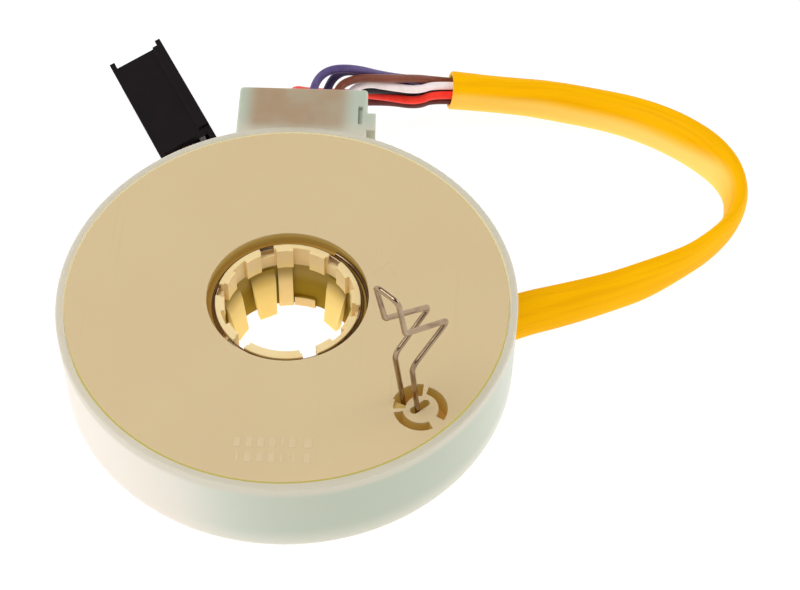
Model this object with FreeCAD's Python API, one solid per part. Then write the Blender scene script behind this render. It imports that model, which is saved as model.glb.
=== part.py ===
import FreeCAD, Part
import math
import os

# Steering column torque and position sensor: a moulded housing with a
# connector box, a cover disc that the upper shaft drives through a zigzag
# spring, a collet hub that grips the lower shaft, and a sleeved cable.
# Millimetres, +Z up along the shaft axis. The origin is on the axis, half
# way up the hub's gripping blocks. Depths are measured down from the face.

V = FreeCAD.Vector

# Fits that every piece shares: a running fit, a close fit, the end play, how
# deep a rib roots in its wall, and how far a cut runs past the face it opens.
RUNNING_CLEARANCE = 0.05
CLOSE_CLEARANCE = 0.1
PLAY = 0.4
ROOT = 0.5
CUT_PAST = 1.0
TINY = 0.01

# Housing
HOUSING_R = 44.0
HOUSING_HEIGHT = 19.5
HOUSING_WALL = 1.4
FLOOR_THICKNESS = 1.6
EDGE_ROUND = 1.6
RIM_ROUND = 0.3
BOSS_WALL = 2.4
BOARD_REST_HEIGHT = 0.4
BOARD_REST_WIDTH = 1.6

# Connector box on the back of the housing, its end and tab set from the rim
BOX_LEFT = -13.0
BOX_RIGHT = 13.6
BOX_REACH = 11.5
BOX_TOP_DEPTH = 0.4
BOX_WALL = 1.4
BOX_ROUND = 0.8
BOX_TOP_ROUND = 0.4
BOX_FRONT_WALL = 0.6
WINDOW_WIDTH = 21.0
WINDOW_TOP_DEPTH = 4.5
TAB_REACH = 1.8
TAB_SETBACK = 6.8
TAB_LENGTH = 4.6
TAB_HEIGHT = 4.0
TAB_SLOT_WIDTH = 0.9
TAB_SLOT_LENGTH = 5.0
TAB_SLOT_DEPTH = 1.0
TAB_SLOT_INSET = 1.5

# Hub: the blocks that grip the shaft, and the walls that step out from them
BLOCK_CENTRE_DEPTH = 4.0
BLOCK_HEIGHT = 5.0
GRIP_R = 12.2
BLOCK_COUNT = 12
BLOCK_SPAN = 15.0
BLOCK_START = 6.0
BLOCKS_JOINED = (8, 9)
BLOCK_PROUD = 0.8
RING_WALL = 0.9
JOURNAL_STEP = 0.3
SKIRT_STEP = 0.8
SKIRT_WALL = 1.6
HUB_SETBACK = 0.3
SLOT_COUNT = 6
SLOT_START = 51.0
SLOT_SPAN = 12.0
SLOT_DEPTH = 2.1
FLANGE_R = 29.0
FLANGE_THICKNESS = 1.5

# Collet fingers that lean in under the blocks, and the two ribs beside them
FINGER_COUNT = 10
FINGER_START = 45.0
FINGER_SKIPPED = 81.0
FINGER_DROP = 1.1
FINGER_KNEE_DROP = 3.4
FINGER_KNEE_LEAN = 0.2
FINGER_TIP_LEAN = 1.6
FINGER_THICKNESS = 1.2
FINGER_ROOT_WIDTH = 5.3
FINGER_KNEE_WIDTH = 4.9
FINGER_TIP_WIDTH = 3.6
COLUMN_ANGLES = (90.0, 103.0)
COLUMN_PROUD = 0.8
KEY_ANGLES = (70.0, 89.0)
KEY_PROUD = 0.7
KEY_HEIGHT = 2.5

# Cover disc
COVER_GROOVE = 0.3
COVER_THICKNESS = 2.0
COVER_HOLE_GAP = 1.3
COVER_LIP = 1.2
COVER_ROUND = 0.2
RELIEF_STEP = 0.5
LAND_HEIGHT = 3.0
COLLAR_WALL = 1.6

# Wire rings
SNAP_WIRE = 1.0
SNAP_DEPTH = 2.5
SNAP_BITE = 0.25
SNAP_GAP_AT = -142.0
SNAP_GAP_SPAN = 6.0
RETAINER_WIRE = 0.9
RETAINER_ANGLES = (-40.0, 56.0)

# Contact combs, which are alike on the cover and on the carrier's towers.
# They are as wide as the torque track less an edge, and share out their leaves.
CONTACT_GAP = 0.3
COMB_EDGE = 0.2
COMB_MARGIN = 0.2
COMB_LENGTH = 4.0
LEAF_COUNT = 3
LEAF_THICKNESS = 0.3
LEAF_GAP = 0.8
LEAF_RUN = 7.0
LEAF_TIP = 0.8
LEAF_ROOT = 1.0
LEAF_BEND = 0.2

# Torque track on the hub's flange, and the combs that ride on it
TRACK_EDGE = 1.0
TRACK_COLLAR_GAP = 2.4
TRACK_THICKNESS = 0.7
TORQUE_WIPER_ANGLES = (190.0, 10.0)

# Carrier under the flange, its towers and the ring tracks that they reach
CARRIER_RIM = 5.0
CARRIER_THICKNESS = 1.5
CARRIER_GAP = 1.55
TOWER_ANGLES = (90.0, 210.0, 330.0)
TOWER_SPAN = 24.0
TOWER_OUTER_EDGE = 1.7
TOWER_INNER_EDGE = 1.2
TOWER_GAP = 2.7
RING_TRACK_GAP = 0.4
COPPER = 0.15

# Stator board
BOARD_THICKNESS = 1.2
BOARD_EDGE_GAP = 2.8
BOARD_HOLE_GAP = 1.05
TONGUE_SIDE_GAP = 1.9
TONGUE_SETBACK = 2.5
WASHER_THICKNESS = 0.8
WASHER_CLEAR = 0.3
WASHER_INSET = 0.2

# Terminal block
TERMINAL_LEFT_GAP = 1.3
TERMINAL_RIGHT_GAP = 2.9
TERMINAL_LENGTH = 9.2
TERMINAL_TOP_DEPTH = 2.1
TERMINAL_SETBACK = 0.3
PIN_SIDE = 0.64
PIN_INSET = 2.5
PIN_EDGE = 1.4
PIN_TOP_DEPTH = 9.0
WIRE_SEAT = 4.0
WIRE_LEAD = 4.0

# Zigzag drive spring: its place beside the anchor's centre, the profile that
# both legs share (height over the face, offset across the radius), the radius
# of each bend in it, and the legs' spacing.
SPRING_WIRE = 1.0
SPRING_BESIDE = (-0.35, 2.74)
SPRING_ANGLE = -41.8
SPRING_PROFILE = ((-4.7, -1.7), (15.1, -4.6), (20.4, 4.6), (27.5, -7.0), (38.2, -9.2))
SPRING_BENDS = (2.2, 0.75, 1.5, 1.3)
SPRING_SPACING_LOW = 3.5
SPRING_SPACING_HIGH = 5.2

# Spring anchor moulded into the cover
ANCHOR_ANGLE = -44.66
ANCHOR_INSET = 6.17
ANCHOR_R = 5.0
ANCHOR_CORE_R = 3.3
ANCHOR_WALL = 1.0
ANCHOR_GAP = 1.3
ANCHOR_SLOT_DEPTH = 5.0
ANCHOR_SLOTS = ((-31.0, 73.0), (193.0, 298.0))
LEG_SLOT = (84.0, 159.0)
LEG_SLOT_R = (2.7, 5.4)
LEDGE_SLOT = (159.0, 183.0)
LEDGE_SLOT_DEPTH = 0.8
OVAL_AT = (-0.1, 0.3)
OVAL_ANGLE = 39.6
OVAL_LENGTH = 4.2
OVAL_WIDTH = 1.5

# Cable
WIRE_OD = 1.8
SLEEVE_OD = 8.0
SLEEVE_BORE = 6.4
SLEEVE_MOUTH = 6.0
SLEEVE_CLEAR = 0.3
HEX_PITCH = 2.0
BUNDLE_TOP = (0.0, 0.78, 0.62)
ARC_SHARE = 0.45

# Plug
PLUG_NEAR_CORNER = (-28.4, 52.3)
PLUG_YAW = 27.3
PLUG_ROLL = -15.0
PLUG_WIDTH = 12.6
PLUG_HEIGHT = 9.5
PLUG_LENGTH = 31.0
PLUG_RIGHT_EXTRA = 2.0
PLUG_WALL = 1.2
PLUG_ROUND = 0.2
PLUG_TOP_START = 0.8
PLUG_TOP_SETBACK = 2.0
PLUG_REAR_POCKET = 8.0
PLUG_MOUTH_DEPTH = 11.0
PLUG_WIRE_RUN = 9.0
PLUG_WIRE_LEAD = 3.0
LATCH_X = (9.3, 11.7)
LATCH_Y = (5.0, 25.0)
LATCH_DROP = 2.4
LATCH_GAP = 1.2
LATCH_ROOT = 3.0
RIDGE_WIDTH = 2.4
RIDGE_HEIGHT = 0.6
RIDGE_Y = (2.0, 30.0)
CONTACT_SIDE = 0.9
CONTACT_REACH = 5.0
CONTACT_SEAT = 4.0
CAVITY_ROWS = ((3.2, (2.6, 5.1, 7.6, 10.1)), (6.3, (3.8, 6.3, 8.8)))

# Place in the sleeve of the wire in each of the plug's cavities, lower row
# first, so that no two wires cross between the sleeve and the plug.
PLUG_WIRE_PLACES = (5, 4, 0, 3, 6, 1, 2)

# Radii of the hub, from the shaft outwards
RING_INNER_R = GRIP_R + BLOCK_PROUD
HUB_NECK_R = RING_INNER_R + RING_WALL
JOURNAL_R = HUB_NECK_R + JOURNAL_STEP
SKIRT_R = JOURNAL_R + SKIRT_STEP
HUB_BORE_R = SKIRT_R - SKIRT_WALL
SNAP_R = HUB_NECK_R - SNAP_BITE + SNAP_WIRE / 2

# Radii of what surrounds the hub
COVER_HOLE_R = JOURNAL_R + COVER_HOLE_GAP
RELIEF_R = COVER_HOLE_R + RELIEF_STEP
COLLAR_R = RELIEF_R + COLLAR_WALL
LAND_R = JOURNAL_R + RUNNING_CLEARANCE
BOSS_BORE_R = SKIRT_R + RUNNING_CLEARANCE
BOSS_R = BOSS_BORE_R + BOSS_WALL
CAVITY_R = HOUSING_R - HOUSING_WALL
COVER_R = CAVITY_R - COVER_GROOVE
BOARD_R = CAVITY_R - BOARD_EDGE_GAP
BOARD_HOLE_R = BOSS_R + BOARD_HOLE_GAP
TRACK_OUTER_R = FLANGE_R - TRACK_EDGE
TRACK_INNER_R = COLLAR_R + TRACK_COLLAR_GAP
CARRIER_OUTER_R = FLANGE_R + CARRIER_RIM
CARRIER_INNER_R = BOSS_R + CARRIER_GAP
COMB_WIDTH = TRACK_OUTER_R - TRACK_INNER_R - 2 * COMB_EDGE
LEAF_PITCH = (COMB_WIDTH - 2 * COMB_MARGIN) / LEAF_COUNT
LEAF_WIDTH = LEAF_PITCH - LEAF_GAP
TORQUE_WIPER_RADIUS = (TRACK_INNER_R + TRACK_OUTER_R) / 2
POSITION_WIPER_RADIUS = CARRIER_OUTER_R - TOWER_OUTER_EDGE - COMB_WIDTH / 2
TOWER_INNER_R = POSITION_WIPER_RADIUS - COMB_WIDTH / 2 - TOWER_INNER_EDGE

# Depths below the face and heights
SNAP_END_DEPTH = SNAP_DEPTH + SNAP_WIRE / 2
LAND_DEPTH = SNAP_END_DEPTH + PLAY
LAND_END_DEPTH = LAND_DEPTH + LAND_HEIGHT
FLANGE_DEPTH = LAND_END_DEPTH + PLAY
FLANGE_END_DEPTH = FLANGE_DEPTH + FLANGE_THICKNESS
BOSS_TOP_DEPTH = FLANGE_END_DEPTH + CONTACT_GAP + WASHER_THICKNESS
ANCHOR_BOSS_DEPTH = FLANGE_END_DEPTH - ANCHOR_GAP
HUB_END_DEPTH = HOUSING_HEIGHT - HUB_SETBACK
BLOCK_TOP_DEPTH = BLOCK_CENTRE_DEPTH - BLOCK_HEIGHT / 2
BLOCK_END_DEPTH = BLOCK_CENTRE_DEPTH + BLOCK_HEIGHT / 2
FINGER_TOP_DEPTH = BLOCK_END_DEPTH + FINGER_DROP
FINGER_KNEE_DEPTH = FINGER_TOP_DEPTH + FINGER_KNEE_DROP
FACE_Z = BLOCK_CENTRE_DEPTH
REAR_Z = FACE_Z - HOUSING_HEIGHT
FLOOR_TOP_Z = REAR_Z + FLOOR_THICKNESS
BOARD_UNDER_Z = FLOOR_TOP_Z + BOARD_REST_HEIGHT
BOARD_TOP_Z = BOARD_UNDER_Z + BOARD_THICKNESS
TOWER_FOOT_Z = BOARD_TOP_Z + TOWER_GAP
SLEEVE_Z = REAR_Z - SLEEVE_CLEAR - SLEEVE_OD / 2
GROUND_Z = SLEEVE_Z - SLEEVE_OD / 2

# Places in the connector box, measured back from its open end
BOX_END_Y = HOUSING_R + BOX_REACH
BOX_INNER_X = (BOX_LEFT + BOX_WALL, BOX_RIGHT - BOX_WALL)
TAB_Y = (BOX_END_Y - TAB_SETBACK - TAB_LENGTH, BOX_END_Y - TAB_SETBACK)
TONGUE_HALF_WIDTH = WINDOW_WIDTH / 2 - TONGUE_SIDE_GAP
TONGUE_END_Y = BOX_END_Y - TONGUE_SETBACK
TERMINAL_X = (BOX_INNER_X[0] + TERMINAL_LEFT_GAP, BOX_INNER_X[1] - TERMINAL_RIGHT_GAP)
TERMINAL_FRONT_Y = BOX_END_Y - TERMINAL_SETBACK
TERMINAL_BACK_Y = TERMINAL_FRONT_Y - TERMINAL_LENGTH
PIN_Y = TERMINAL_BACK_Y + PIN_INSET

# Place of the spring's anchor and of the spring beside it
ANCHOR_BOSS_R = ANCHOR_R + ANCHOR_WALL
ANCHOR_TURN = math.radians(ANCHOR_ANGLE)
ANCHOR_CENTRE_R = COVER_R - ANCHOR_INSET
ANCHOR_XY = (ANCHOR_CENTRE_R * math.cos(ANCHOR_TURN), ANCHOR_CENTRE_R * math.sin(ANCHOR_TURN))
SPRING_XY = (ANCHOR_XY[0] + SPRING_BESIDE[0], ANCHOR_XY[1] + SPRING_BESIDE[1])

# Route of the sleeve, from its mouth beside the box, round the loop, under
# the disc in front of the bore and out behind it to the plug.
SLEEVE_ROUTE = [
    (32.1, 73.6, -14.5),
    (46.2, 74.9, -16.9),
    (60.0, 74.8, -19.3),
    (73.7, 71.4, SLEEVE_Z),
    (86.0, 63.9, SLEEVE_Z),
    (93.3, 53.0, SLEEVE_Z),
    (92.6, 41.8, SLEEVE_Z),
    (85.3, 33.2, SLEEVE_Z),
    (75.8, 26.3, SLEEVE_Z),
    (65.8, 21.2, SLEEVE_Z),
    (55.0, 17.4, SLEEVE_Z),
    (45.5, 14.8, SLEEVE_Z),
    (35.5, 9.6, SLEEVE_Z),
    (28.6, 0.2, SLEEVE_Z),
    (25.1, -12.0, SLEEVE_Z),
    (17.3, -23.0, SLEEVE_Z),
    (5.0, -29.5, SLEEVE_Z),
    (-9.0, -29.2, SLEEVE_Z),
    (-21.5, -22.3, SLEEVE_Z),
    (-29.0, -10.8, SLEEVE_Z),
    (-31.2, 2.6, SLEEVE_Z),
    (-29.2, 15.6, SLEEVE_Z),
    (-24.3, 27.0, SLEEVE_Z),
    (-20.6, 36.8, SLEEVE_Z),
]

# Each wire's exit from the terminal block (x, depth), the free points of its
# route (z from the face), and its place in the sleeve (0 is the core, 1 to 6
# count round it from the top).
WIRES = {
    "wire_purple": ((1.5, 4.4), [(4.2, 62.7, -2.2), (9.9, 64.5, -3.1), (17.1, 69.1, -10.0),
                                 (24.0, 74.8, -16.5)], 6),
    "wire_navy": ((3.6, 7.8), [(6.7, 66.8, -5.8), (14.5, 70.9, -12.0), (23.6, 74.4, -19.1)], 5),
    "wire_brown": ((6.3, 4.4), [(10.9, 63.1, -4.6), (17.4, 66.7, -7.8), (24.2, 72.0, -13.1)], 1),
    "wire_white": ((7.8, 8.0), [(12.4, 64.9, -7.7), (18.0, 66.9, -10.9), (24.2, 69.9, -14.9)], 2),
    "wire_black": ((6.0, 11.6), [(10.6, 65.4, -11.2), (17.4, 68.9, -14.5), (24.4, 71.6, -17.3)], 0),
    "wire_red": ((-3.3, 4.4), [(1.0, 63.0, -9.3), (8.4, 66.9, -13.9), (16.2, 68.7, -16.4),
                               (24.0, 69.4, -18.4)], 3),
    "wire_maroon": ((-0.9, 8.6), [(1.6, 62.6, -14.9), (8.6, 68.2, -18.7), (17.2, 70.9, -20.7),
                                  (24.2, 71.3, -21.6)], 4),
}


def z_at(depth):
    return FACE_Z - depth


def tube(outer, inner, low, high, centre=(0.0, 0.0)):
    base = V(centre[0], centre[1], low)
    solid = Part.makeCylinder(outer, high - low, base)
    if inner > 0:
        solid = solid.cut(Part.makeCylinder(inner, high - low, base))
    return solid


def block(x, y, z):
    low = V(min(x), min(y), min(z))
    return Part.makeBox(abs(x[1] - x[0]), abs(y[1] - y[0]), abs(z[1] - z[0]), low)


def sector(inner, outer, angles, low, high, centre=(0.0, 0.0)):
    """A slice of a ring between two angles in degrees."""
    start, end = angles
    base = V(centre[0], centre[1], low)
    up = V(0, 0, 1)
    solid = Part.makeCylinder(outer, high - low, base, up, end - start)
    if inner > 0:
        solid = solid.cut(Part.makeCylinder(inner, high - low, base, up, end - start))
    solid.rotate(base, up, start)
    return solid


def turned(points):
    """A full turn about the shaft axis of a closed outline of (r, z) points."""
    corners = [V(r, 0, z) for r, z in points]
    outline = Part.makePolygon(corners + [corners[0]])
    return Part.Face(outline).revolve(V(0, 0, 0), V(0, 0, 1), 360)


def polar(radius, angle, z=0.0):
    turn = math.radians(angle)
    return V(radius * math.cos(turn), radius * math.sin(turn), z)


def rounded_edges(points, radii):
    """Straight runs joined by tangent arcs of the given radii."""
    edges = []
    start = points[0]
    for index, corner in enumerate(points[1:-1]):
        back = (points[index] - corner).normalize()
        ahead = (points[index + 2] - corner).normalize()
        half = (math.pi - back.getAngle(ahead)) / 2
        reach = radii[index] * math.tan(half)
        enter = corner + back * reach
        leave = corner + ahead * reach
        middle = (back + ahead).normalize()
        depth = radii[index] / math.cos(half) - radii[index]
        edges.append(Part.LineSegment(start, enter).toShape())
        edges.append(Part.Arc(enter, corner + middle * depth, leave).toShape())
        start = leave
    edges.append(Part.LineSegment(start, points[-1]).toShape())
    return edges


def cord_radii(points):
    """Arc radii as large as each corner's two runs allow."""
    radii = []
    for index, corner in enumerate(points[1:-1]):
        back = points[index] - corner
        ahead = points[index + 2] - corner
        half = (math.pi - back.getAngle(ahead)) / 2
        radii.append(ARC_SHARE * min(back.Length, ahead.Length) / math.tan(half))
    return radii


def swept(points, radii, radius):
    """A round bar along the runs and arcs."""
    edges = rounded_edges(points, radii)
    heading = points[1] - points[0]
    section = Part.Wire([Part.makeCircle(radius, points[0], heading)])
    return Part.Wire(edges).makePipeShell([section], True, False), edges


def cord(name, points, diameter):
    """A cord's plain bar, with its radii and volume printed for checking."""
    radii = cord_radii(points)
    solid, edges = swept(points, radii, diameter / 2)
    length = sum(edge.Length for edge in edges)
    share = solid.Volume / (math.pi * diameter ** 2 / 4 * length)
    print(name, "length %.1f smallest radius %.1f volume share %.4f" % (length, min(radii), share))
    return solid


def make_housing():
    """Cup with a flat floor, centre boss and connector box, moulded in one."""
    cup = Part.makeCylinder(HOUSING_R, HOUSING_HEIGHT, V(0, 0, REAR_Z))
    foot = [edge for edge in cup.Edges if edge.BoundBox.ZMax < REAR_Z + TINY]
    cup = cup.makeFillet(EDGE_ROUND, foot)
    rim = [edge for edge in cup.Edges if edge.BoundBox.ZMin > FACE_Z - TINY]
    cup = cup.makeFillet(RIM_ROUND, rim)
    body = cup.fuse([connector_box(), box_tab()])
    body = body.cut(Part.makeCylinder(CAVITY_R, HOUSING_HEIGHT, V(0, 0, FLOOR_TOP_Z)))
    for cut in box_cuts():
        body = body.cut(cut)
    boss = tube(BOSS_R, 0, REAR_Z, z_at(BOSS_TOP_DEPTH))
    rest_inner = BOARD_R - BOARD_REST_WIDTH
    low = FLOOR_TOP_Z - ROOT
    rest = tube(CAVITY_R + ROOT, rest_inner, low, BOARD_UNDER_Z)
    shelf_x = (-WINDOW_WIDTH / 2, WINDOW_WIDTH / 2)
    rest = rest.cut(block(shelf_x, (0, HOUSING_R), (REAR_Z, FACE_Z)))
    shelf = block(shelf_x, (rest_inner, TONGUE_END_Y), (low, BOARD_UNDER_Z))
    body = body.fuse([boss, rest, shelf])
    bore = Part.makeCylinder(BOSS_BORE_R, HOUSING_HEIGHT, V(0, 0, REAR_Z - CUT_PAST))
    return body.cut(bore).removeSplitter()


def connector_box():
    """The box's outside, from inside the cup's wall to its open end."""
    top = z_at(BOX_TOP_DEPTH)
    box = block((BOX_LEFT, BOX_RIGHT), (BOARD_R, BOX_END_Y), (REAR_Z, top))
    height = HOUSING_HEIGHT / 2
    corners = [edge for edge in box.Edges
               if edge.BoundBox.YMin > BOX_END_Y - TINY and edge.BoundBox.ZLength > height]
    box = box.makeFillet(BOX_ROUND, corners)
    upper = [edge for edge in box.Edges
             if edge.BoundBox.ZMin > top - TINY and edge.BoundBox.YMax > BOARD_R + TINY]
    return box.makeFillet(BOX_TOP_ROUND, upper)


def box_tab():
    """Small raised tab on the box's right side."""
    top = z_at(BOX_TOP_DEPTH)
    return block((BOX_RIGHT - BOX_WALL, BOX_RIGHT + TAB_REACH), TAB_Y, (top - TAB_HEIGHT, top))


def box_cuts():
    """The box's inside, the window into the cup, and the slot by the tab."""
    top = z_at(BOX_TOP_DEPTH)
    inner_y = (HOUSING_R + BOX_FRONT_WALL, BOX_END_Y + CUT_PAST)
    inside = block(BOX_INNER_X, inner_y, (FLOOR_TOP_Z, top - BOX_WALL))
    window_x = (-WINDOW_WIDTH / 2, WINDOW_WIDTH / 2)
    window = block(window_x, (BOARD_R, inner_y[0] + CUT_PAST), (FLOOR_TOP_Z, z_at(WINDOW_TOP_DEPTH)))
    slot_x = (BOX_INNER_X[1] - TAB_SLOT_WIDTH / 2, BOX_INNER_X[1] + TAB_SLOT_WIDTH / 2)
    slot_start = TAB_Y[0] + TAB_SLOT_INSET
    slot_y = (slot_start, slot_start + TAB_SLOT_LENGTH)
    slot = block(slot_x, slot_y, (top - TAB_SLOT_DEPTH, top + CUT_PAST))
    return [inside, window, slot]


def make_cover_disc():
    """Flat disc with a stepped collar and the spring's anchor."""
    disc = tube(COVER_R, 0, z_at(COVER_THICKNESS), FACE_Z)
    rim = [edge for edge in disc.Edges if edge.BoundBox.ZMin > FACE_Z - TINY]
    disc = disc.makeFillet(COVER_ROUND, rim)
    collar = tube(COLLAR_R, 0, z_at(LAND_END_DEPTH), FACE_Z)
    boss = tube(ANCHOR_BOSS_R, 0, z_at(ANCHOR_BOSS_DEPTH), FACE_Z, ANCHOR_XY)
    body = disc.fuse([collar, boss])
    over = FACE_Z + CUT_PAST
    body = body.cut(tube(COVER_HOLE_R, 0, z_at(COVER_LIP), over))
    body = body.cut(tube(RELIEF_R, 0, z_at(LAND_DEPTH), z_at(COVER_LIP)))
    body = body.cut(tube(LAND_R, 0, z_at(LAND_END_DEPTH + CUT_PAST), z_at(LAND_DEPTH)))
    floor_z = z_at(ANCHOR_SLOT_DEPTH)
    cuts = [sector(ANCHOR_CORE_R, ANCHOR_R, span, floor_z, over, ANCHOR_XY) for span in ANCHOR_SLOTS]
    cuts.append(sector(*LEG_SLOT_R, LEG_SLOT, floor_z, over, ANCHOR_XY))
    cuts.append(sector(LEG_SLOT_R[0], ANCHOR_R, LEDGE_SLOT, z_at(LEDGE_SLOT_DEPTH), over, ANCHOR_XY))
    cuts.append(oval_hole(floor_z))
    for cut in cuts:
        body = body.cut(cut)
    return body.removeSplitter()


def oval_hole(floor_z):
    """Round-ended slot that takes the spring's outer leg."""
    reach = (OVAL_LENGTH - OVAL_WIDTH) / 2
    half = OVAL_WIDTH / 2
    height = FACE_Z + CUT_PAST - floor_z
    bar = Part.makeBox(2 * reach, OVAL_WIDTH, height, V(-reach, -half, floor_z))
    ends = [Part.makeCylinder(half, height, V(side * reach, 0, floor_z)) for side in (-1, 1)]
    hole = bar.fuse(ends)
    hole.rotate(V(0, 0, 0), V(0, 0, 1), OVAL_ANGLE)
    hole.translate(V(ANCHOR_XY[0] + OVAL_AT[0], ANCHOR_XY[1] + OVAL_AT[1], 0))
    return hole


def finger():
    """One collet finger, leaning in from the wall, on the +X side."""
    def section(depth, inner, width):
        x0, x1, y = inner, inner + FINGER_THICKNESS, width / 2
        z = z_at(depth)
        corners = [V(x0, -y, z), V(x1, -y, z), V(x1, y, z), V(x0, y, z)]
        return Part.makePolygon(corners + [corners[0]])
    root = section(FINGER_TOP_DEPTH, RING_INNER_R, FINGER_ROOT_WIDTH)
    knee = section(FINGER_KNEE_DEPTH, GRIP_R - FINGER_KNEE_LEAN, FINGER_KNEE_WIDTH)
    tip = section(HUB_END_DEPTH, GRIP_R - FINGER_TIP_LEAN, FINGER_TIP_WIDTH)
    return Part.makeLoft([root, knee, tip], True, True)


def make_hub():
    """Collet hub: blocks round the mouth, fingers inside, a flange outside."""
    top_z = z_at(BLOCK_TOP_DEPTH)
    journal_z = z_at(SNAP_END_DEPTH + CLOSE_CLEARANCE)
    end_z = z_at(HUB_END_DEPTH)
    block_end_z = z_at(BLOCK_END_DEPTH)
    body = turned([
        (RING_INNER_R, top_z), (HUB_NECK_R, top_z), (HUB_NECK_R, journal_z), (JOURNAL_R, journal_z),
        (JOURNAL_R, z_at(FLANGE_DEPTH)), (FLANGE_R, z_at(FLANGE_DEPTH)),
        (FLANGE_R, z_at(FLANGE_END_DEPTH)), (SKIRT_R, z_at(FLANGE_END_DEPTH)), (SKIRT_R, end_z),
        (HUB_BORE_R, end_z), (HUB_BORE_R, block_end_z), (RING_INNER_R, block_end_z),
    ])
    body = body.cut(Part.makeTorus(SNAP_R, SNAP_WIRE / 2 + RUNNING_CLEARANCE, V(0, 0, z_at(SNAP_DEPTH))))
    added = []
    for index in range(BLOCK_COUNT):
        start = BLOCK_START + index * 360.0 / BLOCK_COUNT - BLOCK_SPAN / 2
        reach = 360.0 / BLOCK_COUNT if index == BLOCKS_JOINED[0] else BLOCK_SPAN
        span = (start, start + reach)
        added.append(sector(GRIP_R, RING_INNER_R + RING_WALL / 2, span, block_end_z, top_z))
    pitch = 360.0 / FINGER_COUNT
    for index in range(FINGER_COUNT):
        angle = FINGER_START + index * pitch
        if abs(angle - FINGER_SKIPPED) > 1:
            piece = finger()
            piece.rotate(V(0, 0, 0), V(0, 0, 1), angle)
            added.append(piece)
    rooted_r = HUB_BORE_R + ROOT
    added.append(sector(HUB_BORE_R - COLUMN_PROUD, rooted_r, COLUMN_ANGLES, end_z, block_end_z))
    added.append(sector(HUB_BORE_R - KEY_PROUD, rooted_r, KEY_ANGLES, end_z, end_z + KEY_HEIGHT))
    body = body.fuse(added)
    slots = []
    for index in range(SLOT_COUNT):
        start = SLOT_START + index * 360.0 / SLOT_COUNT - SLOT_SPAN / 2
        span = (start, start + SLOT_SPAN)
        slot_z = (top_z - SLOT_DEPTH, top_z + CUT_PAST)
        slots.append(sector(GRIP_R - CUT_PAST, JOURNAL_R + CUT_PAST, span, *slot_z))
    return body.cut(slots).removeSplitter()


def make_snap_ring():
    """Open wire ring in the hub's groove; it holds the cover down."""
    ring = Part.makeTorus(SNAP_R, SNAP_WIRE / 2, V(0, 0, 0), V(0, 0, 1), 0, 360, 360 - SNAP_GAP_SPAN)
    ring.rotate(V(0, 0, 0), V(0, 0, 1), SNAP_GAP_AT + SNAP_GAP_SPAN / 2)
    ring.translate(V(0, 0, z_at(SNAP_DEPTH)))
    return ring


def make_retaining_ring():
    """Short wire arc lying on the cover's land, against its relief wall."""
    radius = RELIEF_R - RETAINER_WIRE / 2 - RUNNING_CLEARANCE
    start, end = RETAINER_ANGLES
    ring = Part.makeTorus(radius, RETAINER_WIRE / 2, V(0, 0, 0), V(0, 0, 1), 0, 360, end - start)
    ring.rotate(V(0, 0, 0), V(0, 0, 1), start)
    ring.translate(V(0, 0, z_at(LAND_DEPTH) + RETAINER_WIRE / 2))
    return ring


def spring_point(side, height, offset):
    """A point of one leg; side is -1 for the inner leg and 1 for the outer."""
    top = SPRING_PROFILE[-1][0]
    share = max(height, 0.0) / top
    spacing = SPRING_SPACING_LOW + (SPRING_SPACING_HIGH - SPRING_SPACING_LOW) * share
    outward = polar(1, SPRING_ANGLE)
    across = polar(1, SPRING_ANGLE + 90)
    middle = V(SPRING_XY[0], SPRING_XY[1], FACE_Z + height)
    return middle + outward * (side * spacing / 2) + across * offset


def make_drive_spring():
    """Hairpin of spring wire folded into a zigzag above the cover."""
    inner = [spring_point(-1, height, offset) for height, offset in SPRING_PROFILE]
    outer = [spring_point(1, height, offset) for height, offset in SPRING_PROFILE]
    points = inner + outer[::-1]
    return swept(points, SPRING_BENDS + SPRING_BENDS[::-1], SPRING_WIRE / 2)[0]


def leaf_offsets():
    return [(index - (LEAF_COUNT - 1) / 2) * LEAF_PITCH for index in range(LEAF_COUNT)]


def leaf_group(radius, base_z, tip_z):
    """Contact comb on the +X side: a base plate with sprung leaves."""
    rise = 1 if tip_z > base_z else -1
    plate_end = base_z + rise * LEAF_THICKNESS
    y0 = -COMB_LENGTH / 2
    y1 = COMB_LENGTH / 2
    plate = block((radius - COMB_WIDTH / 2, radius + COMB_WIDTH / 2), (y0, y1), (base_z, plate_end))
    leaves = []
    for offset in leaf_offsets():
        x = radius + offset - LEAF_WIDTH / 2
        near = y1 + LEAF_RUN
        far = near + LEAF_TIP
        back_z = tip_z - rise * LEAF_THICKNESS
        outline = [
            (y1 - LEAF_ROOT, base_z), (y1, base_z), (near, back_z), (far, back_z),
            (far, tip_z), (near, tip_z), (y1 - LEAF_BEND, plate_end), (y1 - LEAF_ROOT, plate_end),
        ]
        corners = [V(x, y, z) for y, z in outline]
        face = Part.Face(Part.makePolygon(corners + [corners[0]]))
        leaves.append(face.extrude(V(LEAF_WIDTH, 0, 0)))
    return plate.fuse(leaves).removeSplitter()


def leaf_groups(radius, base_z, tip_z, angles):
    groups = []
    for angle in angles:
        group = leaf_group(radius, base_z, tip_z)
        group.rotate(V(0, 0, 0), V(0, 0, 1), angle)
        groups.append(group)
    return Part.makeCompound(groups)


def make_torque_wipers():
    track_z = z_at(FLANGE_DEPTH) + TRACK_THICKNESS
    base_z = z_at(COVER_THICKNESS)
    return leaf_groups(TORQUE_WIPER_RADIUS, base_z, track_z + CONTACT_GAP, TORQUE_WIPER_ANGLES)


def make_torque_track():
    low = z_at(FLANGE_DEPTH)
    return tube(TRACK_OUTER_R, TRACK_INNER_R, low, low + TRACK_THICKNESS)


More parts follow.
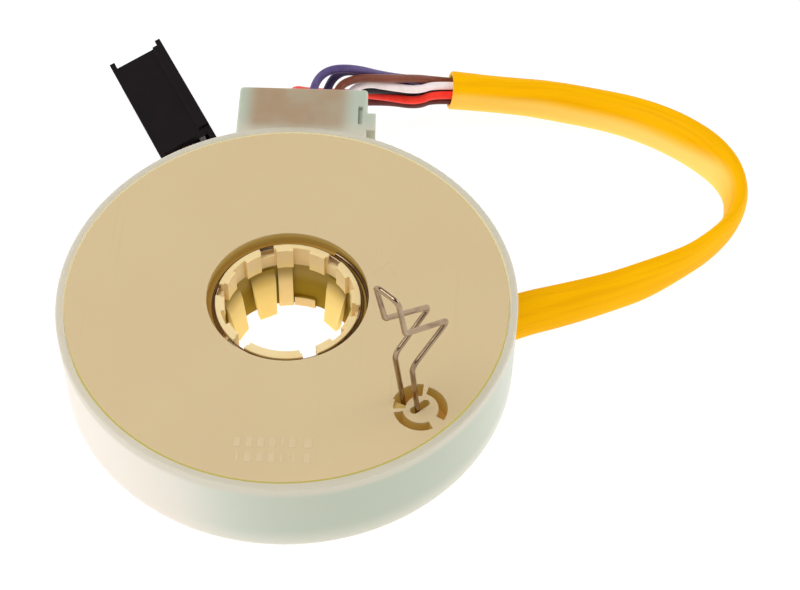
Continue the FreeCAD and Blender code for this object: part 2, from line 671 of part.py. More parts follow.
def make_wiper_carrier():
    """Ring under the hub's flange with towers that hold the wipers."""
    top = z_at(FLANGE_END_DEPTH)
    body = tube(CARRIER_OUTER_R, CARRIER_INNER_R, top - CARRIER_THICKNESS, top)
    towers = []
    for angle in TOWER_ANGLES:
        span = (angle - TOWER_SPAN / 2, angle + TOWER_SPAN / 2)
        towers.append(sector(TOWER_INNER_R, CARRIER_OUTER_R, span, TOWER_FOOT_Z, top - ROOT))
    return body.fuse(towers).removeSplitter()


def make_position_wipers():
    tip = BOARD_TOP_Z + COPPER + CONTACT_GAP
    return leaf_groups(POSITION_WIPER_RADIUS, TOWER_FOOT_Z, tip, TOWER_ANGLES)


def make_stator_board():
    ring = tube(BOARD_R, 0, BOARD_UNDER_Z, BOARD_TOP_Z)
    tongue_x = (-TONGUE_HALF_WIDTH, TONGUE_HALF_WIDTH)
    tongue = block(tongue_x, (0, TONGUE_END_Y), (BOARD_UNDER_Z, BOARD_TOP_Z))
    board = ring.fuse(tongue)
    return board.cut(Part.makeCylinder(BOARD_HOLE_R, HOUSING_HEIGHT, V(0, 0, REAR_Z))).removeSplitter()


def make_ring_tracks():
    """One contact ring on the board for each leaf of the combs above."""
    rings = []
    for offset in leaf_offsets():
        middle = POSITION_WIPER_RADIUS + offset
        half = (LEAF_PITCH - RING_TRACK_GAP) / 2
        rings.append(tube(middle + half, middle - half, BOARD_TOP_Z, BOARD_TOP_Z + COPPER))
    return Part.makeCompound(rings)


def make_thrust_washer():
    low = z_at(BOSS_TOP_DEPTH)
    return tube(BOSS_R - WASHER_INSET, BOSS_BORE_R + WASHER_CLEAR, low, low + WASHER_THICKNESS)


def pin_places():
    count = len(WIRES)
    pitch = 2 * (TONGUE_HALF_WIDTH - PIN_EDGE) / (count - 1)
    return [(index - (count - 1) / 2) * pitch for index in range(count)]


def make_board_pins():
    """Square pins that stand on the board's tongue, in the terminal block."""
    half = PIN_SIDE / 2
    pins = [block((x - half, x + half), (PIN_Y - half, PIN_Y + half), (BOARD_TOP_Z, z_at(PIN_TOP_DEPTH)))
            for x in pin_places()]
    return Part.makeCompound(pins)


def wire_exit(name):
    x, depth = WIRES[name][0]
    return V(x, TERMINAL_FRONT_Y, z_at(depth))


def make_terminal_block():
    terminal_z = (BOARD_TOP_Z, z_at(TERMINAL_TOP_DEPTH))
    body = block(TERMINAL_X, (TERMINAL_BACK_Y, TERMINAL_FRONT_Y), terminal_z)
    side = PIN_SIDE / 2 + CLOSE_CLEARANCE
    hole_z = (BOARD_TOP_Z - CUT_PAST, z_at(PIN_TOP_DEPTH) + CLOSE_CLEARANCE)
    holes = [block((x - side, x + side), (PIN_Y - side, PIN_Y + side), hole_z) for x in pin_places()]
    for name in WIRES:
        seat = wire_exit(name) - V(0, WIRE_SEAT, 0)
        hole_r = WIRE_OD / 2 + RUNNING_CLEARANCE
        holes.append(Part.makeCylinder(hole_r, WIRE_SEAT + CUT_PAST, seat, V(0, 1, 0)))
    return body.cut(holes)


def hex_offset(place, heading, top):
    """Where a wire lies in the sleeve: the core, or one of six round it."""
    if place == 0:
        return V(0, 0, 0)
    side = heading.cross(top).normalize()
    upright = side.cross(heading).normalize()
    turn = math.radians(60 * (place - 1))
    return (upright * math.cos(turn) + side * math.sin(turn)) * HEX_PITCH


def sleeve_points():
    return [V(*point) for point in SLEEVE_ROUTE]


def make_cable_sleeve():
    """Sleeve filled by its wires, with an open mouth at each end."""
    points = sleeve_points()
    body = cord("cable_sleeve", points, SLEEVE_OD)
    for end, inner in ((points[0], points[1]), (points[-1], points[-2])):
        heading = (inner - end).normalize()
        mouth = Part.makeCylinder(SLEEVE_BORE / 2, SLEEVE_MOUTH + CUT_PAST, end - heading * CUT_PAST, heading)
        body = body.cut(mouth)
    return body


def make_wire(name):
    """One bare wire from the terminal block into the sleeve's mouth."""
    _, free, place = WIRES[name]
    points = sleeve_points()
    heading = (points[1] - points[0]).normalize()
    mouth = points[0] + hex_offset(place, heading, V(*BUNDLE_TOP))
    route = [wire_exit(name) - V(0, WIRE_SEAT, 0), wire_exit(name) + V(0, WIRE_LEAD, 0)]
    route += [V(x, y, FACE_Z + z) for x, y, z in free]
    route += [mouth - heading * WIRE_LEAD, mouth + heading * SLEEVE_MOUTH]
    return cord(name, route, WIRE_OD)


def place_plug(shape):
    """Moves a shape from the plug's own frame to where the plug lies."""
    shape.rotate(V(0, 0, 0), V(0, 1, 0), PLUG_ROLL)
    shape.rotate(V(0, 0, 0), V(0, 0, 1), PLUG_YAW)
    shape.translate(V(PLUG_NEAR_CORNER[0], PLUG_NEAR_CORNER[1], GROUND_Z))
    return shape


def plug_point(x, y, z):
    return place_plug(Part.Vertex(x, y, z)).Point


def cavities():
    return [(x, z) for z, row in CAVITY_ROWS for x in row]


def make_plug_housing():
    """Socket housing: rear pocket, contact block, open mouth and latch."""
    body = block((0, PLUG_WIDTH), (0, PLUG_LENGTH), (0, PLUG_HEIGHT))
    side_x = (PLUG_WIDTH - PLUG_WALL, PLUG_WIDTH)
    longer = block(side_x, (-PLUG_RIGHT_EXTRA, PLUG_WALL), (0, PLUG_HEIGHT))
    ridge_x = (PLUG_WIDTH - RIDGE_WIDTH, PLUG_WIDTH)
    ridge = block(ridge_x, RIDGE_Y, (PLUG_HEIGHT - PLUG_WALL, PLUG_HEIGHT + RIDGE_HEIGHT))
    latch = block(LATCH_X, LATCH_Y, (-LATCH_DROP, PLUG_WALL))
    body = body.fuse([longer, ridge, latch]).removeSplitter()
    long_edges = [edge for edge in body.Edges if edge.BoundBox.YLength > LATCH_Y[1] - LATCH_Y[0] + TINY]
    body = body.makeFillet(PLUG_ROUND, long_edges)
    for cut in plug_cuts():
        body = body.cut(cut)
    return place_plug(body)


def plug_cuts():
    """The gap over the latch, the pocket, the mouth, and the contacts' seats."""
    cuts = [block(LATCH_X, (LATCH_Y[0] + LATCH_ROOT, LATCH_Y[1] + CUT_PAST), (-LATCH_GAP, 0))]
    inside_x = (PLUG_WALL, PLUG_WIDTH - PLUG_WALL)
    inside_z = (PLUG_WALL, PLUG_HEIGHT - PLUG_WALL)
    mouth_start = PLUG_LENGTH - PLUG_MOUTH_DEPTH
    far = PLUG_LENGTH + CUT_PAST
    cuts.append(block(inside_x, (-CUT_PAST, PLUG_REAR_POCKET), inside_z))
    cuts.append(block(inside_x, (mouth_start, far), inside_z))
    above = (inside_z[1] - CLOSE_CLEARANCE, PLUG_HEIGHT + CUT_PAST)
    cuts.append(block(inside_x, (-CUT_PAST, PLUG_TOP_START), above))
    cuts.append(block(inside_x, (PLUG_LENGTH - PLUG_TOP_SETBACK, far), above))
    half = CONTACT_SIDE / 2
    pin_y = (mouth_start - CONTACT_SEAT, mouth_start + CUT_PAST)
    for x, z in cavities():
        cuts.append(block((x - half, x + half), pin_y, (z - half, z + half)))
        seat = V(x, PLUG_REAR_POCKET - CUT_PAST, z)
        hole_r = WIRE_OD / 2 + RUNNING_CLEARANCE
        cuts.append(Part.makeCylinder(hole_r, CUT_PAST + WIRE_SEAT, seat, V(0, 1, 0)))
    return cuts


def make_plug_contacts():
    half = CONTACT_SIDE / 2
    low = PLUG_LENGTH - PLUG_MOUTH_DEPTH - CONTACT_SEAT
    pins = [block((x - half, x + half), (low, low + CONTACT_SEAT + CONTACT_REACH), (z - half, z + half))
            for x, z in cavities()]
    return place_plug(Part.makeCompound(pins))


def make_plug_wires():
    """The same wires again, from the sleeve's far mouth into the plug."""
    points = sleeve_points()
    heading = (points[-1] - points[-2]).normalize()
    solids = []
    for place, (x, z) in zip(PLUG_WIRE_PLACES, cavities()):
        mouth = points[-1] + hex_offset(place, heading, V(0, 0, 1))
        route = [
            mouth - heading * SLEEVE_MOUTH, mouth + heading * PLUG_WIRE_LEAD,
            plug_point(x, PLUG_REAR_POCKET - PLUG_WIRE_RUN, z),
            plug_point(x, PLUG_REAR_POCKET + WIRE_SEAT, z),
        ]
        solids.append(cord("plug_wires %d" % place, route, WIRE_OD))
    return Part.makeCompound(solids)


NODES = {
    "housing": make_housing,
    "stator_board": make_stator_board,
    "ring_tracks": make_ring_tracks,
    "board_pins": make_board_pins,
    "terminal_block": make_terminal_block,
    "thrust_washer": make_thrust_washer,
    "cable_sleeve": make_cable_sleeve,
    "plug_wires": make_plug_wires,
    "plug_housing": make_plug_housing,
    "plug_contacts": make_plug_contacts,
    "hub": make_hub,
    "snap_ring": make_snap_ring,
    "torque_track": make_torque_track,
    "wiper_carrier": make_wiper_carrier,
    "position_wipers": make_position_wipers,
    "cover_disc": make_cover_disc,
    "drive_spring": make_drive_spring,
    "retaining_ring": make_retaining_ring,
    "torque_wipers": make_torque_wipers,
}


def main():
    os.makedirs("parts", exist_ok=True)
    shapes = {name: make() for name, make in NODES.items()}
    shapes.update({name: make_wire(name) for name in WIRES})
    for name, shape in shapes.items():
        shape.exportStep("parts/%s.step" % name)
        print(name, "solids", len(shape.Solids), "valid", shape.isValid(), "volume %.1f" % shape.Volume)


main()
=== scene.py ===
"""Looks of a steering column torque and position sensor, laid out as an add-on.

Lengths are metres in the part's own frame: the shaft axis is Z, and the
connector box lies towards +Y.
"""

import math

import bmesh
import bpy
from bpy.props import FloatProperty, FloatVectorProperty, PointerProperty
from bpy.types import Operator, Panel, PropertyGroup
from mathutils import Matrix, Vector


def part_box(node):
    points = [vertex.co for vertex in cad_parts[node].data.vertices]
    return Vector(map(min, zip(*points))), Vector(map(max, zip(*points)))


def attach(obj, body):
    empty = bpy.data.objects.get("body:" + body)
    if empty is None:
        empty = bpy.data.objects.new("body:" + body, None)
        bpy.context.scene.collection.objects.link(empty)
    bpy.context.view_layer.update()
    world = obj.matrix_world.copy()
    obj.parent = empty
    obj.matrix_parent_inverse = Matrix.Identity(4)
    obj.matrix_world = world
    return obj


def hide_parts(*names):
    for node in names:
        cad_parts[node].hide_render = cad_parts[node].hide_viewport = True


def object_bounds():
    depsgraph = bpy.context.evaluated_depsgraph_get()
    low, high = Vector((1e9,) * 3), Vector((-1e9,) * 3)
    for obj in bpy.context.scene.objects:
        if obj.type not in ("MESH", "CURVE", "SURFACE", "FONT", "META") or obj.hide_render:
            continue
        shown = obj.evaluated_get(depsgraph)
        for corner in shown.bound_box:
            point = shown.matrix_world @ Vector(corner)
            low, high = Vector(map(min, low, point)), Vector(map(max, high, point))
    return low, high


bl_info = {
    "name": "Steering sensor looks",
    "version": (1, 0, 0),
    "blender": (4, 5, 0),
    "location": "3D View > Sidebar > Sensor",
    "description": "Finishes, cable and stage for the steering column sensor",
    "category": "Object",
}

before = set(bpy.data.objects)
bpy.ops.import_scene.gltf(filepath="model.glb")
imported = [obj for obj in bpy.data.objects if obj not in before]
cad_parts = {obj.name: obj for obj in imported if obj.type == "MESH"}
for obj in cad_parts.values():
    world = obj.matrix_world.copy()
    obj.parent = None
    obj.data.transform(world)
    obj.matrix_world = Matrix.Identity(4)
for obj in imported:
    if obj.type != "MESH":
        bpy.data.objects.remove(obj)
CAD_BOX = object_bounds()

MM = 0.001
FACE_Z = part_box("cover_disc")[1].z
GROUND_Z = CAD_BOX[0].z
PHOTO_WIDTH = 800


def colour(red, green, blue):
    """A colour read off the photograph, 0 to 255, as Blender's linear values."""
    linear = []
    for level in (red, green, blue):
        share = level / 255
        low = share / 12.92
        high = ((share + 0.055) / 1.055) ** 2.4
        linear.append(low if share <= 0.04045 else high)
    return tuple(linear)


def length_setting(name, description, default):
    return FloatProperty(name=name, description=description, default=default, unit="LENGTH", precision=5)


def colour_setting(name, description, default):
    return FloatVectorProperty(name=name, description=description, default=default, subtype="COLOR",
                               min=0.0, max=1.0)


class SensorPlastics(PropertyGroup):
    cover: colour_setting("Cover", "Beige of the cover disc", colour(218, 194, 150))
    # Painted shade: olive in the cover's recesses and brown at the bottom of its slots
    cover_shade: colour_setting("Cover recesses", "Olive tint in the cover's holes", colour(176, 154, 82))
    cover_deep_shade: colour_setting("Cover depths", "Brown at the bottom of the slots", colour(186, 138, 54))
    # Painted glow in the cover's recesses
    cover_glow: colour_setting("Cover glow", "Light through the cover's thin walls", colour(190, 148, 66))
    # Painted olive shade and a painted glow in the gap between the cover and the rim
    groove: colour_setting("Groove", "Olive line between the cover and the rim", colour(172, 164, 84))
    mark: colour_setting("Marks", "Paler worn tops of the cover's raised marks", colour(222, 199, 158))
    housing: colour_setting("Housing", "Milky natural plastic of the housing", colour(208, 214, 198))
    housing_tone: colour_setting("Housing tone", "Pinkish cloud in the plastic", colour(216, 209, 196))
    # Painted shade on the green side, where the inner parts stand behind the milky wall, and painted light on
    # the pale side and the foot
    housing_mint_shade: colour_setting("Housing mint", "Greener side that shows the inside", colour(187, 194, 174))
    housing_pale_light: colour_setting("Housing pale", "Pinkish white side, nothing behind", colour(242, 232, 218))
    # Also the colour of a painted glow on the rim's inner wall in the gap round the cover
    rim_tone: colour_setting("Rim tone", "Greyer rounded rim", colour(212, 204, 186))
    # Painted shade over the hollow box, and the block's colour painted on the wall where it would show
    # through
    box_shade: colour_setting("Box tint", "Darker plastic over the hollow box", colour(188, 198, 180))
    block_seen_through: colour_setting("Block tint", "Beige block showing through the box", colour(178, 152, 122))
    hub: colour_setting("Hub", "Cream plastic of the collet hub", colour(248, 224, 172))
    hub_tone: colour_setting("Hub tone", "Warmer cloud in the hub", colour(242, 212, 150))
    # Painted light on the fingers, and painted olive yellow shade behind them and at their roots
    hub_lit: colour_setting("Hub lit", "Yellow of the fingers, lit from behind", colour(240, 214, 132))
    hub_deep_shade: colour_setting("Hub depths", "Olive yellow behind the fingers", colour(154, 128, 24))
    plug: colour_setting("Plug", "Black plastic of the plug", colour(26, 19, 21))


class SensorMetals(PropertyGroup):
    wire: colour_setting("Spring wire", "Spring steel wire", colour(166, 142, 114))
    wire_dark: colour_setting("Spring wire streaks", "Darker drawing streaks", colour(120, 96, 72))
    wiper: colour_setting("Wiper", "Spring bronze of the contact combs", colour(205, 178, 118))
    tin: colour_setting("Tin", "Tinned pins", colour(196, 196, 194))


class SensorSleeve(PropertyGroup):
    diameter: length_setting("Diameter", "Outside of the sleeve where it is round", 8.0 * MM)
    bore: length_setting("Bore", "Inside of the sleeve at its mouths", 6.4 * MM)
    mouth: length_setting("Mouth depth", "How deep each mouth is open", 6.0 * MM)
    skin: colour_setting("Skin", "Yellow vinyl", colour(255, 188, 0))
    skin_tone: colour_setting("Skin tone", "Deeper yellow clouds", colour(236, 168, 0))
    # Painted light on the sleeve's downward faces
    skin_underside_light: colour_setting("Skin underneath", "Paler yellow, where light comes in", colour(255, 217, 118))


class SensorWires(PropertyGroup):
    diameter: length_setting("Diameter", "Over the insulation", 1.8 * MM)
    lead: length_setting("Lead", "Straight run out of a hole", 4.0 * MM)
    pitch: length_setting("Pitch", "Spacing of the wires in the sleeve", 2.0 * MM)


class SensorStage(PropertyGroup):
    focal_pixels: FloatProperty(name="Focal length", description="In pixels of the photograph",
                                default=1952.45)
    tilt: FloatProperty(name="Tilt", description="How far the camera looks down",
                        default=math.radians(51.54), subtype="ANGLE")
    roll: FloatProperty(name="Roll", description="Turn about the line of sight",
                        default=0.0276, subtype="ANGLE")
    white: FloatProperty(name="White", description="How bright the floor shows", default=1.12)
    floor_glow: FloatProperty(name="Floor glow", description="Light that the floor gives off", default=1.5)
    room: FloatProperty(name="Room", description="Light from above and in front", default=0.34)
    sides: FloatProperty(name="Sides", description="Light from left and right", default=0.8)


def settings():
    return bpy.context.scene


# Node helpers


def node(tree, kind, inputs=None, **options):
    """A node with its options set, and its inputs linked or given a value."""
    made = tree.nodes.new(kind)
    for key, value in options.items():
        setattr(made, key, value)
    for key, value in (inputs or {}).items():
        socket = made.inputs[key]
        if isinstance(value, bpy.types.NodeSocket):
            tree.links.new(value, socket)
        else:
            socket.default_value = value
    return made


BLACK = (0.0, 0.0, 0.0)


def rgba(value):
    return (*value, 1.0) if len(value) == 3 else tuple(value)


def group(name, inputs, outputs, fill):
    """A shader node group with named sockets, built once and filled by a function."""
    tree = bpy.data.node_groups.get(name)
    if tree:
        return tree
    tree = bpy.data.node_groups.new(name, "ShaderNodeTree")
    for label, kind, default in inputs:
        socket = tree.interface.new_socket(label, in_out="INPUT", socket_type="NodeSocket" + kind)
        if default is not None:
            socket.default_value = default
    for label, kind in outputs:
        tree.interface.new_socket(label, in_out="OUTPUT", socket_type="NodeSocket" + kind)
    source = tree.nodes.new("NodeGroupInput").outputs
    sink = tree.nodes.new("NodeGroupOutput").inputs
    for label, value in fill(tree, source).items():
        tree.links.new(value, sink[label])
    return tree


def math_node(tree, operation, first, second=0.0, clamp=False):
    made = node(tree, "ShaderNodeMath", {0: first, 1: second}, operation=operation, use_clamp=clamp)
    return made.outputs[0]


def product(tree, first, second):
    return math_node(tree, "MULTIPLY", first, second)


def mix_colour(tree, share, first, second):
    """A share of the second colour over the first; the node's colour sockets have these numbers."""
    made = node(tree, "ShaderNodeMix", {0: share, 6: first, 7: second}, data_type="RGBA", clamp_result=True)
    return made.outputs[2]


def axes_of(tree, vector):
    return node(tree, "ShaderNodeSeparateXYZ", {"Vector": vector}).outputs


def noise(tree, vector, scale, detail, roughness=0.5):
    return node(tree, "ShaderNodeTexNoise", {
        "Vector": vector, "Scale": scale, "Detail": detail, "Roughness": roughness,
    }).outputs["Fac"]


def span(tree, value, low, high, to_low=0.0, to_high=1.0):
    """A value's place between two limits, eased at both ends."""
    return node(tree, "ShaderNodeMapRange", {
        "Value": value, "From Min": low, "From Max": high, "To Min": to_low, "To Max": to_high,
    }, interpolation_type="SMOOTHSTEP").outputs["Result"]


def fill_moulded_skin(tree, given):
    """Soft clouds of a second tone, a fine tool grain, and uneven gloss."""
    clouds = noise(tree, given["Vector"], given["Cloud Scale"], 3.0, 0.55)
    share = product(tree, span(tree, clouds, 0.36, 0.68), given["Cloud Share"])
    grain = noise(tree, given["Vector"], given["Grain Scale"], 2.0, 0.6)
    gloss = product(tree, math_node(tree, "SUBTRACT", clouds, 0.5), given["Gloss Spread"])
    return {
        "Color": mix_colour(tree, share, given["Color"], given["Tone"]),
        "Roughness": math_node(tree, "ADD", gloss, given["Roughness"], clamp=True),
        "Height": grain,
    }


def moulded_skin():
    return group("moulded_skin", [
        ("Vector", "Vector", None), ("Color", "Color", None), ("Tone", "Color", None),
        ("Cloud Scale", "Float", 60.0), ("Cloud Share", "Float", 0.5), ("Grain Scale", "Float", 4000.0),
        ("Roughness", "Float", 0.5), ("Gloss Spread", "Float", 0.15),
    ], [("Color", "Color"), ("Roughness", "Float"), ("Height", "Float")], fill_moulded_skin)


def fill_recess_shade(tree, given):
    """Painted shade: a second colour that grows with depth under a level."""
    depth = math_node(tree, "SUBTRACT", given["Top"], axes_of(tree, given["Vector"])["Z"])
    share = product(tree, span(tree, depth, 0.0, given["Reach"]), given["Share"])
    return {"Color": mix_colour(tree, share, given["Color"], given["Deep Color"]), "Mask": share}


def recess_shade():
    return group("recess_shade", [
        ("Vector", "Vector", None), ("Color", "Color", None), ("Deep Color", "Color", None),
        ("Top", "Float", 0.0), ("Reach", "Float", 0.001), ("Share", "Float", 1.0),
    ], [("Color", "Color"), ("Mask", "Float")], fill_recess_shade)


def fill_hairlines(tree, given):
    """Fine straight scuffs in two directions, broken up by a cloud."""
    marks = None
    for turn in (0.5, 2.1):
        turned = node(tree, "ShaderNodeMapping", {
            "Vector": given["Vector"], "Rotation": (0.0, 0.0, turn), "Scale": (1.0, 0.03, 1.0),
        }).outputs["Vector"]
        line_share = span(tree, noise(tree, turned, given["Scale"], 1.0), 0.66, 0.74)
        marks = line_share if marks is None else math_node(tree, "MAXIMUM", marks, line_share)
    cloud = noise(tree, given["Vector"], 55.0, 2.0)
    broken = product(tree, marks, span(tree, cloud, 0.48, 0.62))
    return {"Mask": product(tree, broken, given["Share"])}


def hairlines():
    return group("hairlines", [
        ("Vector", "Vector", None), ("Scale", "Float", 1500.0), ("Share", "Float", 0.5),
    ], [("Mask", "Float")], fill_hairlines)


def fill_drawn_wire(tree, given):
    """Drawing streaks and a little oxide on bright wire."""
    streak = noise(tree, given["Vector"], 1400.0, 3.0, 0.7)
    oxide = noise(tree, given["Vector"], 260.0, 3.0)
    share = product(tree, span(tree, oxide, 0.42, 0.7), given["Oxide"])
    return {
        "Color": mix_colour(tree, share, given["Color"], given["Dark Color"]),
        "Roughness": math_node(tree, "ADD", product(tree, streak, 0.16), given["Roughness"]),
        "Height": streak,
    }


def drawn_wire():
    return group("drawn_wire", [
        ("Vector", "Vector", None), ("Color", "Color", None), ("Dark Color", "Color", None),
        ("Oxide", "Float", 0.6), ("Roughness", "Float", 0.1),
    ], [("Color", "Color"), ("Roughness", "Float"), ("Height", "Float")], fill_drawn_wire)


def fill_vinyl_skin(tree, given):
    """Extruded vinyl: faint lengthwise draw lines and soft clouds of tone."""
    stretched = node(tree, "ShaderNodeMapping", {
        "Vector": given["Vector"], "Scale": (1.0, 1.0, 0.04),
    }).outputs["Vector"]
    lines = noise(tree, stretched, given["Line Scale"], 2.0)
    clouds = noise(tree, given["Vector"], given["Cloud Scale"], 2.0)
    tones = math_node(tree, "ADD", span(tree, clouds, 0.35, 0.7), span(tree, lines, 0.4, 0.7))
    share = product(tree, tones, 0.5)
    return {
        "Color": mix_colour(tree, share, given["Color"], given["Tone"]),
        "Roughness": math_node(tree, "ADD", product(tree, lines, 0.14), given["Roughness"]),
        "Height": lines,
    }


def vinyl_skin():
    return group("vinyl_skin", [
        ("Vector", "Vector", None), ("Color", "Color", None), ("Tone", "Color", None),
        ("Line Scale", "Float", 900.0), ("Cloud Scale", "Float", 90.0), ("Roughness", "Float", 0.34),
    ], [("Color", "Color"), ("Roughness", "Float"), ("Height", "Float")], fill_vinyl_skin)


def place(tree, group_tree, inputs):
    return node(tree, "ShaderNodeGroup", inputs, node_tree=group_tree).outputs


def new_material(name, sockets):
    """A material whose Principled shader has these plain socket values."""
    material = bpy.data.materials.new(name)
    material.use_nodes = True
    shader = material.node_tree.nodes["Principled BSDF"]
    for key, value in sockets.items():
        shader.inputs[key].default_value = value
    return material, material.node_tree, shader


def object_place(tree):
    return node(tree, "ShaderNodeTexCoord").outputs["Object"]


def bump(tree, shader, height, distance, strength=1.0):
    made = node(tree, "ShaderNodeBump", {"Height": height, "Strength": strength, "Distance": distance})
    tree.links.new(made.outputs["Normal"], shader.inputs["Normal"])


def painted_glow(tree, shader, mask, tint, strength):
    """A painted glow: emission in the tint where the mask is, standing in for light that thin plastic lets
    through.
    """
    tree.links.new(mix_colour(tree, mask, rgba(BLACK), tint), shader.inputs["Emission Color"])
    shader.inputs["Emission Strength"].default_value = strength


def join(tree, shader, outputs):
    """Feeds a skin group's colour and roughness to the shader."""
    tree.links.new(outputs["Color"], shader.inputs["Base Color"])
    tree.links.new(outputs["Roughness"], shader.inputs["Roughness"])


def moulded_material(name, base, tone, grain_height=0.004 * MM, glow=None, **values):
    """Moulded plastic in one or two tones."""
    sockets = {"Specular IOR Level": 0.4}
    if glow:
        sockets["Subsurface Weight"] = glow[0]
        sockets["Subsurface Radius"] = glow[1]
        sockets["Subsurface Scale"] = glow[2]
    material, tree, shader = new_material(name, sockets)
    skin_inputs = {"Vector": object_place(tree), "Color": rgba(base), "Tone": rgba(tone)}
    skin_inputs.update({key.replace("_", " ").title(): value for key, value in values.items()})
    skin = place(tree, moulded_skin(), skin_inputs)
    join(tree, shader, skin)
    bump(tree, shader, skin["Height"], grain_height)
    return material, tree, shader, skin


def from_axis(tree, vector):
    """How far a point is from the shaft axis."""
    flat = node(tree, "ShaderNodeMapping", {"Vector": vector, "Scale": (1.0, 1.0, 0.0)}).outputs["Vector"]
    return node(tree, "ShaderNodeVectorMath", {0: flat}, operation="LENGTH").outputs["Value"]


def below(tree, vector, level):
    """How far a point lies under a level."""
    return math_node(tree, "SUBTRACT", level, axes_of(tree, vector)["Z"])


def towards(tree, vector, direction):
    """How far a point lies in a level direction from the shaft axis."""
    along = {0: vector, 1: (*direction, 0.0)}
    return node(tree, "ShaderNodeVectorMath", along, operation="DOT_PRODUCT").outputs["Value"]


# Under the cover's face: where the painted olive shade of its recesses starts, and the painted brown shade of
# its slots.
# From the cover's edge: the inner wall of the housing's rim.
OLIVE_SHADE_START = 0.05 * MM
BROWN_SHADE_START = 1.6 * MM
RIM_FROM_COVER = 0.42 * MM


def cover_material():
    """Beige plastic with painted olive shade in its recesses, painted brown shade in its slots, a painted
    glow in the recesses and in the gap at its edge, and faint scuffs on the face.
    """
    plastics = settings().sensor_plastics
    material, tree, shader, skin = moulded_material(
        "cover_plastic", plastics.cover, colour(220, 197, 152), cloud_scale=28.0, cloud_share=0.6,
        grain_scale=5200.0, roughness=0.42, gloss_spread=0.12, glow=(0.12, (1.0, 0.75, 0.35), 0.8 * MM))
    vector = object_place(tree)
    # Painted shade: olive in the recesses, brown deeper down in the slots
    recess = place(tree, recess_shade(), {
        "Vector": vector, "Color": skin["Color"], "Deep Color": rgba(plastics.cover_shade),
        "Top": FACE_Z - OLIVE_SHADE_START, "Reach": 0.6 * MM, "Share": 0.9,
    })
    shadowed = place(tree, recess_shade(), {
        "Vector": vector, "Color": recess["Color"], "Deep Color": rgba(plastics.cover_deep_shade),
        "Top": FACE_Z - BROWN_SHADE_START, "Reach": 3.2 * MM, "Share": 0.9,
    })
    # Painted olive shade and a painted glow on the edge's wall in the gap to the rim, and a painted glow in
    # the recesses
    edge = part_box("cover_disc")[1].x
    at_edge = span(tree, from_axis(tree, vector), edge - 0.3 * MM, edge - 0.1 * MM)
    under_face = span(tree, below(tree, vector, FACE_Z), 0.02 * MM, 0.08 * MM)
    groove = product(tree, at_edge, under_face)
    lit = math_node(tree, "MAXIMUM", product(tree, recess["Mask"], 0.5), groove)
    glow = mix_colour(tree, groove, rgba(plastics.cover_glow), rgba(plastics.groove))
    painted_glow(tree, shader, lit, glow, 0.48)
    scuffs = place(tree, hairlines(), {"Vector": vector, "Scale": 1300.0, "Share": 0.1})["Mask"]
    shade_and_scuffs = mix_colour(tree, scuffs, shadowed["Color"], rgba(colour(196, 170, 124)))
    tree.links.new(mix_colour(tree, groove, shade_and_scuffs, rgba(plastics.groove)), shader.inputs["Base Color"])
    return material


# Level directions, from the shaft axis, of the housing's walls with painted light (palest) and painted shade
# (greenest)
PALE_SIDE = (-0.94, -0.34)
MINT_SIDE = (0.5, -0.866)


